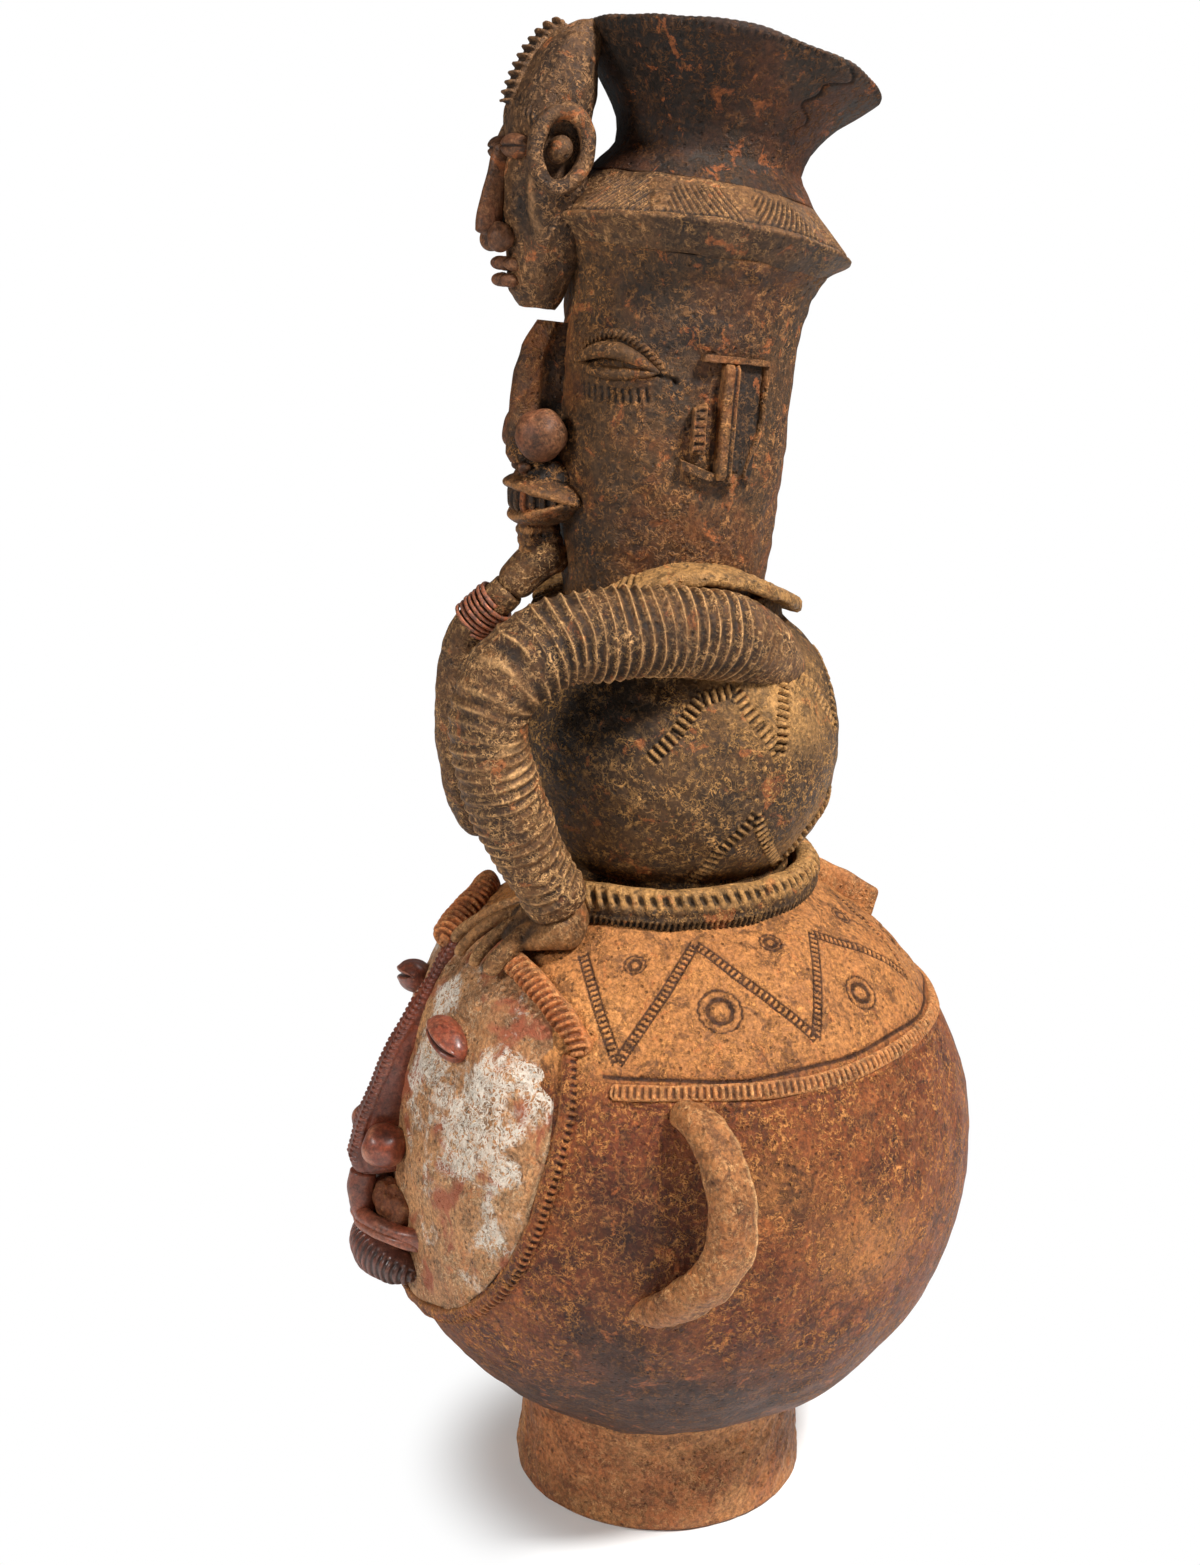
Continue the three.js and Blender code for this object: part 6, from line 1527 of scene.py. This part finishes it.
for name, side in both_sides:
    flap = plate(np.linspace(70, 64, 24), np.linspace(125.5, 127.5, 24), side * np.linspace(99, 116, 24), 2.4)
    ledge = plate(124.4, 127.6, side * np.linspace(84, 119, 34), 5.6)
    foot_low = [*np.linspace(71, 65, 17), *np.linspace(65, 64, 17)]
    foot_high = [*np.linspace(75.5, 70, 17), *np.linspace(70, 69, 17)]
    foot_ledge = plate(foot_low, foot_high, side * np.linspace(78, 106, 34), 5.0)
    bar = plate(66, 124, side * np.linspace(94.5, 101.5, 12), 7.6)
    on_bar_front = np.arange(bar.shape[1]) < plate_steps
    bar_groove = -1.6 * mound(np.arange(len(bar)) - 7.5, 0.9)[:, None] * on_bar_front
    edge_level = np.linspace(125.5, 66, 14)
    edge_path = on_lean(side * mixed(110, 118.5, smoothstep(66, 100, edge_level)), edge_level, 2.4)
    edge = swept(edge_path, 160, 20, from_axis, 1.15, 2.0, 2.2, round_ends=(2, 2))[0]
    # The back flap, sunk among the strips, is darkened as painted shade
    for k, (rows, groove, dark, pale) in enumerate((
        (flap, 0, 1.1, -0.1), (ledge, 0, 0, 0.35), (foot_ledge, 0, 0.1, 0.2), (bar, bar_groove, 0, 0.35),
        (edge, 0, 0, 0.4),
    )):
        clay_piece(
            f"ear_{name}_{k}", rows, head_clay, f"head_ear_frame_{name}", "head", cut=groove,
            uneven=[(0.3, 14, 40 + k)], worn=groove + pale, smoke=dark,
        )
    block = plate(np.linspace(79, 78, 14), np.linspace(101, 104, 14), side * np.linspace(82, 88, 14), 7.8)
    block_row = np.arange(len(block))[:, None]
    block_cut = -1.3 * marks(block[..., 2], 4.1, 0.55) * on_bar_front
    block_cut = block_cut * smoothstep(1, 3, block_row) * smoothstep(12, 10, block_row)
    clay_piece(
        f"ear_{name}_block", block, head_clay, f"head_ear_block_{name}", "head", cut=block_cut,
        uneven=[(0.2, 9, 45)], worn=block_cut + 0.2,
    )

# Small head
# A hollow-cheeked head that leans out over the brim from the hat's rim to below its edge, with
# hatched brows and a ridge down each cheek.
mask_table = [
    (0, 0.24, 0.82, 1.05), (0.05, 0.4, 0.87, 1), (0.16, 0.6, 0.9, 0.92), (0.28, 0.74, 0.94, 0.92),
    (0.4, 0.86, 0.97, 0.95), (0.53, 0.95, 0.99, 0.98), (0.65, 1, 1, 1), (0.76, 0.98, 0.985, 1.02),
    (0.86, 0.9, 0.945, 1.05), (0.94, 0.76, 0.88, 1.06), (1, 0.5, 0.78, 1.06),
]
mask_low = 140.0
mask_tall = 135.5


# Half the small head's width, and how far its front and back stand out, from its foot to its top
def mask_size(share):
    shares, *sizes = zip(*mask_table)
    width, front, back = (np.interp(share, shares, size) for size in sizes)
    return 35 * width, 107 * front, 66 * back


mask_share = np.linspace(0, 1, 170)
mask_half, mask_front, mask_back = mask_size(mask_share)
mask_across, mask_ahead = squared(full_turn(240, 0.5), 0.8)
mask_level = mask_low + mask_tall * mask_share
mask_flat = upright(mask_level, mask_half, mask_front, mask_back, mask_across, mask_ahead)
mask_x = np.abs(mask_flat[..., 0])
mask_z = mask_flat[..., 2]
ahead = smoothstep(0.0, 0.5, mask_ahead)[None, :]
socket = mound(np.hypot((mask_x - 17) / 1.5, mask_z - 214), 8.5)
cheek = mound(np.hypot((mask_x - 22) / 0.9, (mask_z - 186) / 2.2), 9)
cheek_ridge = mound(mask_x - (27 - (200 - mask_z) * 0.12), 2.2) * smoothstep(160, 172, mask_z)
cheek_ridge = cheek_ridge * smoothstep(208, 198, mask_z)
brow_line = mask_z - (229 + 5.5 * np.cos(mask_x / 17 * 1.3))
brow_curl = marks(mask_x * 1.05 + brow_line * 0.3, 3.4, 0.75) * mound(brow_line, 3.4)
brow_curl = brow_curl * smoothstep(6, 9, mask_x) * smoothstep(33, 29, mask_x)
mask_cut = (-2.6 * socket - 2.0 * cheek + 1.5 * cheek_ridge - 1.2 * brow_curl) * ahead
mask_cut = mask_cut + 1.1 * mound(brow_line, 3.0) * ahead
mask_rows = leaned(mask_flat)
mask_clay = clay_material(
    "mask_clay", (86, 57, 32), (58, 38, 22), (188, 138, 92), (24, 17, 12),
    amounts=(0.7, 0.55, 0.4, 0.6),
)
# The cheek hollows and the back of the small head are darkened as painted shade, and the cheek ridges paled as
# painted highlights
clay_piece(
    "mask", mask_rows, mask_clay, "small_head", "head", cut=mask_cut, uneven=[(0.5, 22, 50), (0.2, 7, 51)],
    worn=(cheek_ridge * 0.6 - brow_curl * 0.9) * ahead,
    smoke=1.2 * cheek * ahead + 0.5 * smoothstep(0.2, -0.4, mask_ahead),
)


# Point on the front of the small head
def on_mask(x, share, out):
    half, front, back = mask_size(share)
    depth = (front - back) / 2
    rounded = np.clip(1 - np.abs(x / half) ** 2.5, 0, 1) ** 0.4
    y = -(front - depth + depth * rounded) - out
    return np.stack(np.broadcast_arrays(x, y, mask_low + mask_tall * share), -1)


# Features of the small head
# A ribbed crest of hair from the rim to the brow, a nose bar with two balls, slit eyes, lumpy
# lips, and ring ears with a plug standing in each.
hair_rows, hair_run, hair_angle = swept(
    leaned(on_mask(0.0, np.array([0.985, 0.94, 0.88, 0.81, 0.74, 0.67]), 1.2)), 420, 40,
    lambda centre: centre - np.array([0, -50, 735]), 7.6, 5.2, 2.4, round_ends=(4, 4),
)
hair_cut = -2.2 * marks(hair_run + 1.1 * np.cos(hair_angle) ** 2, 4.6, 0.85)
hair_cut = hair_cut * smoothstep(-0.1, 0.4, np.sin(hair_angle))
clay_piece(
    "hair_roll", hair_rows, mask_clay, "hair_crest", "head", cut=hair_cut, uneven=[(0.2, 10, 52)],
    worn=hair_cut * 0.5 + 0.4,
)
small_nose_rows = swept(
    leaned(on_mask(0.0, np.array([0.56, 0.48, 0.38, 0.28, 0.22]), np.array([0.5, 2.2, 5, 8, 9.4]))), 120, 40,
    (0, -1, 0), lambda s: mixed(3.6, 4.6, s), lambda s: mixed(4.5, 7.2, s), 2.6, round_ends=(3, 3),
)[0]
clay_piece("small_nose_bar", small_nose_rows, gloss_clay, "small_nose", "slip", uneven=[(0.3, 10, 53)])
lip_rolls = []
for level, size, count in ((158.5, 3.6, 5), (151.0, 3.6, 4)):
    share = (level - mask_low) / mask_tall
    for k in range(count):
        x = (k - (count - 1) / 2) * 4.6
        centre = leaned(on_mask(x, share, 4.6 - 0.05 * x * x))
        lip_rolls.append(ball(centre, (3.1, 5.2, size), 30, 18))
    lip_rolls.append(ball(leaned(on_mask(0.0, share, 1.0)), (11, 6, size * 0.9), 40, 24))
small_lips = lump_of("small_lip_rolls", lip_rolls, 0.6, 2)
dress(small_lips, gloss_clay, "small_lips")


def oval(share):
    return 6.2 * np.sqrt(np.clip(1 - (2 * share - 1) ** 2, 0.004, 1))


for name, side in both_sides:
    small_ball = leaned(ball(tuple(on_mask(side * 8.6, 0.22, 5.4)), (7.0, 7.0, 6.8), 48, 30))
    clay_piece(
        f"small_ball_{name}", small_ball, gloss_clay, f"small_nostril_{name}", "slip",
        uneven=[(0.3, 9, 54)],
    )
    across = side * (17.5 + np.linspace(-1, 1, 9) * 10.5)
    path = leaned(on_mask(across, (214 - mask_low) / mask_tall, 0.4))
    bean_rows, bean_run, bean_angle = swept(path, 90, 60, (side * 0.4, -1, 0), oval, lambda s: 1.1 * oval(s))
    small_slit = -1.5 * mound(bean_angle - math.pi / 2, 0.13) * smoothstep(0, 3, bean_run)
    small_slit = small_slit * smoothstep(0, 3, bean_run[::-1])
    clay_piece(
        f"small_bean_{name}", bean_rows, gloss_clay, f"small_eye_{name}", "slip", cut=small_slit,
        worn=small_slit * 0.8,
    )
    ring_turn = full_turn(24)
    ring_path = leaned(np.stack([
        side * (38.5 + 0 * ring_turn), -86.5 + 13.2 * np.cos(ring_turn), 214 + 17 * np.sin(ring_turn),
    ], -1))
    ring_rows = swept(ring_path, 200, 30, (side, 0, 0), 4.1, 4.8, 2.3, closed=True)[0]
    clay_piece(
        f"ear_ring_{name}", ring_rows, mask_clay, f"ring_ear_{name}", "head", uneven=[(0.4, 14, 55)],
        ring=True, worn=0.15,
    )
    plug_rows = leaned(ball((side * 36.5, -86.5, 214), (7.0, 6.3, 6.0), 48, 30))
    clay_piece(
        f"ear_knob_{name}", plug_rows, mask_clay, f"ear_plug_{name}", "slip", uneven=[(0.3, 9, 56)],
        worn=0.1,
    )
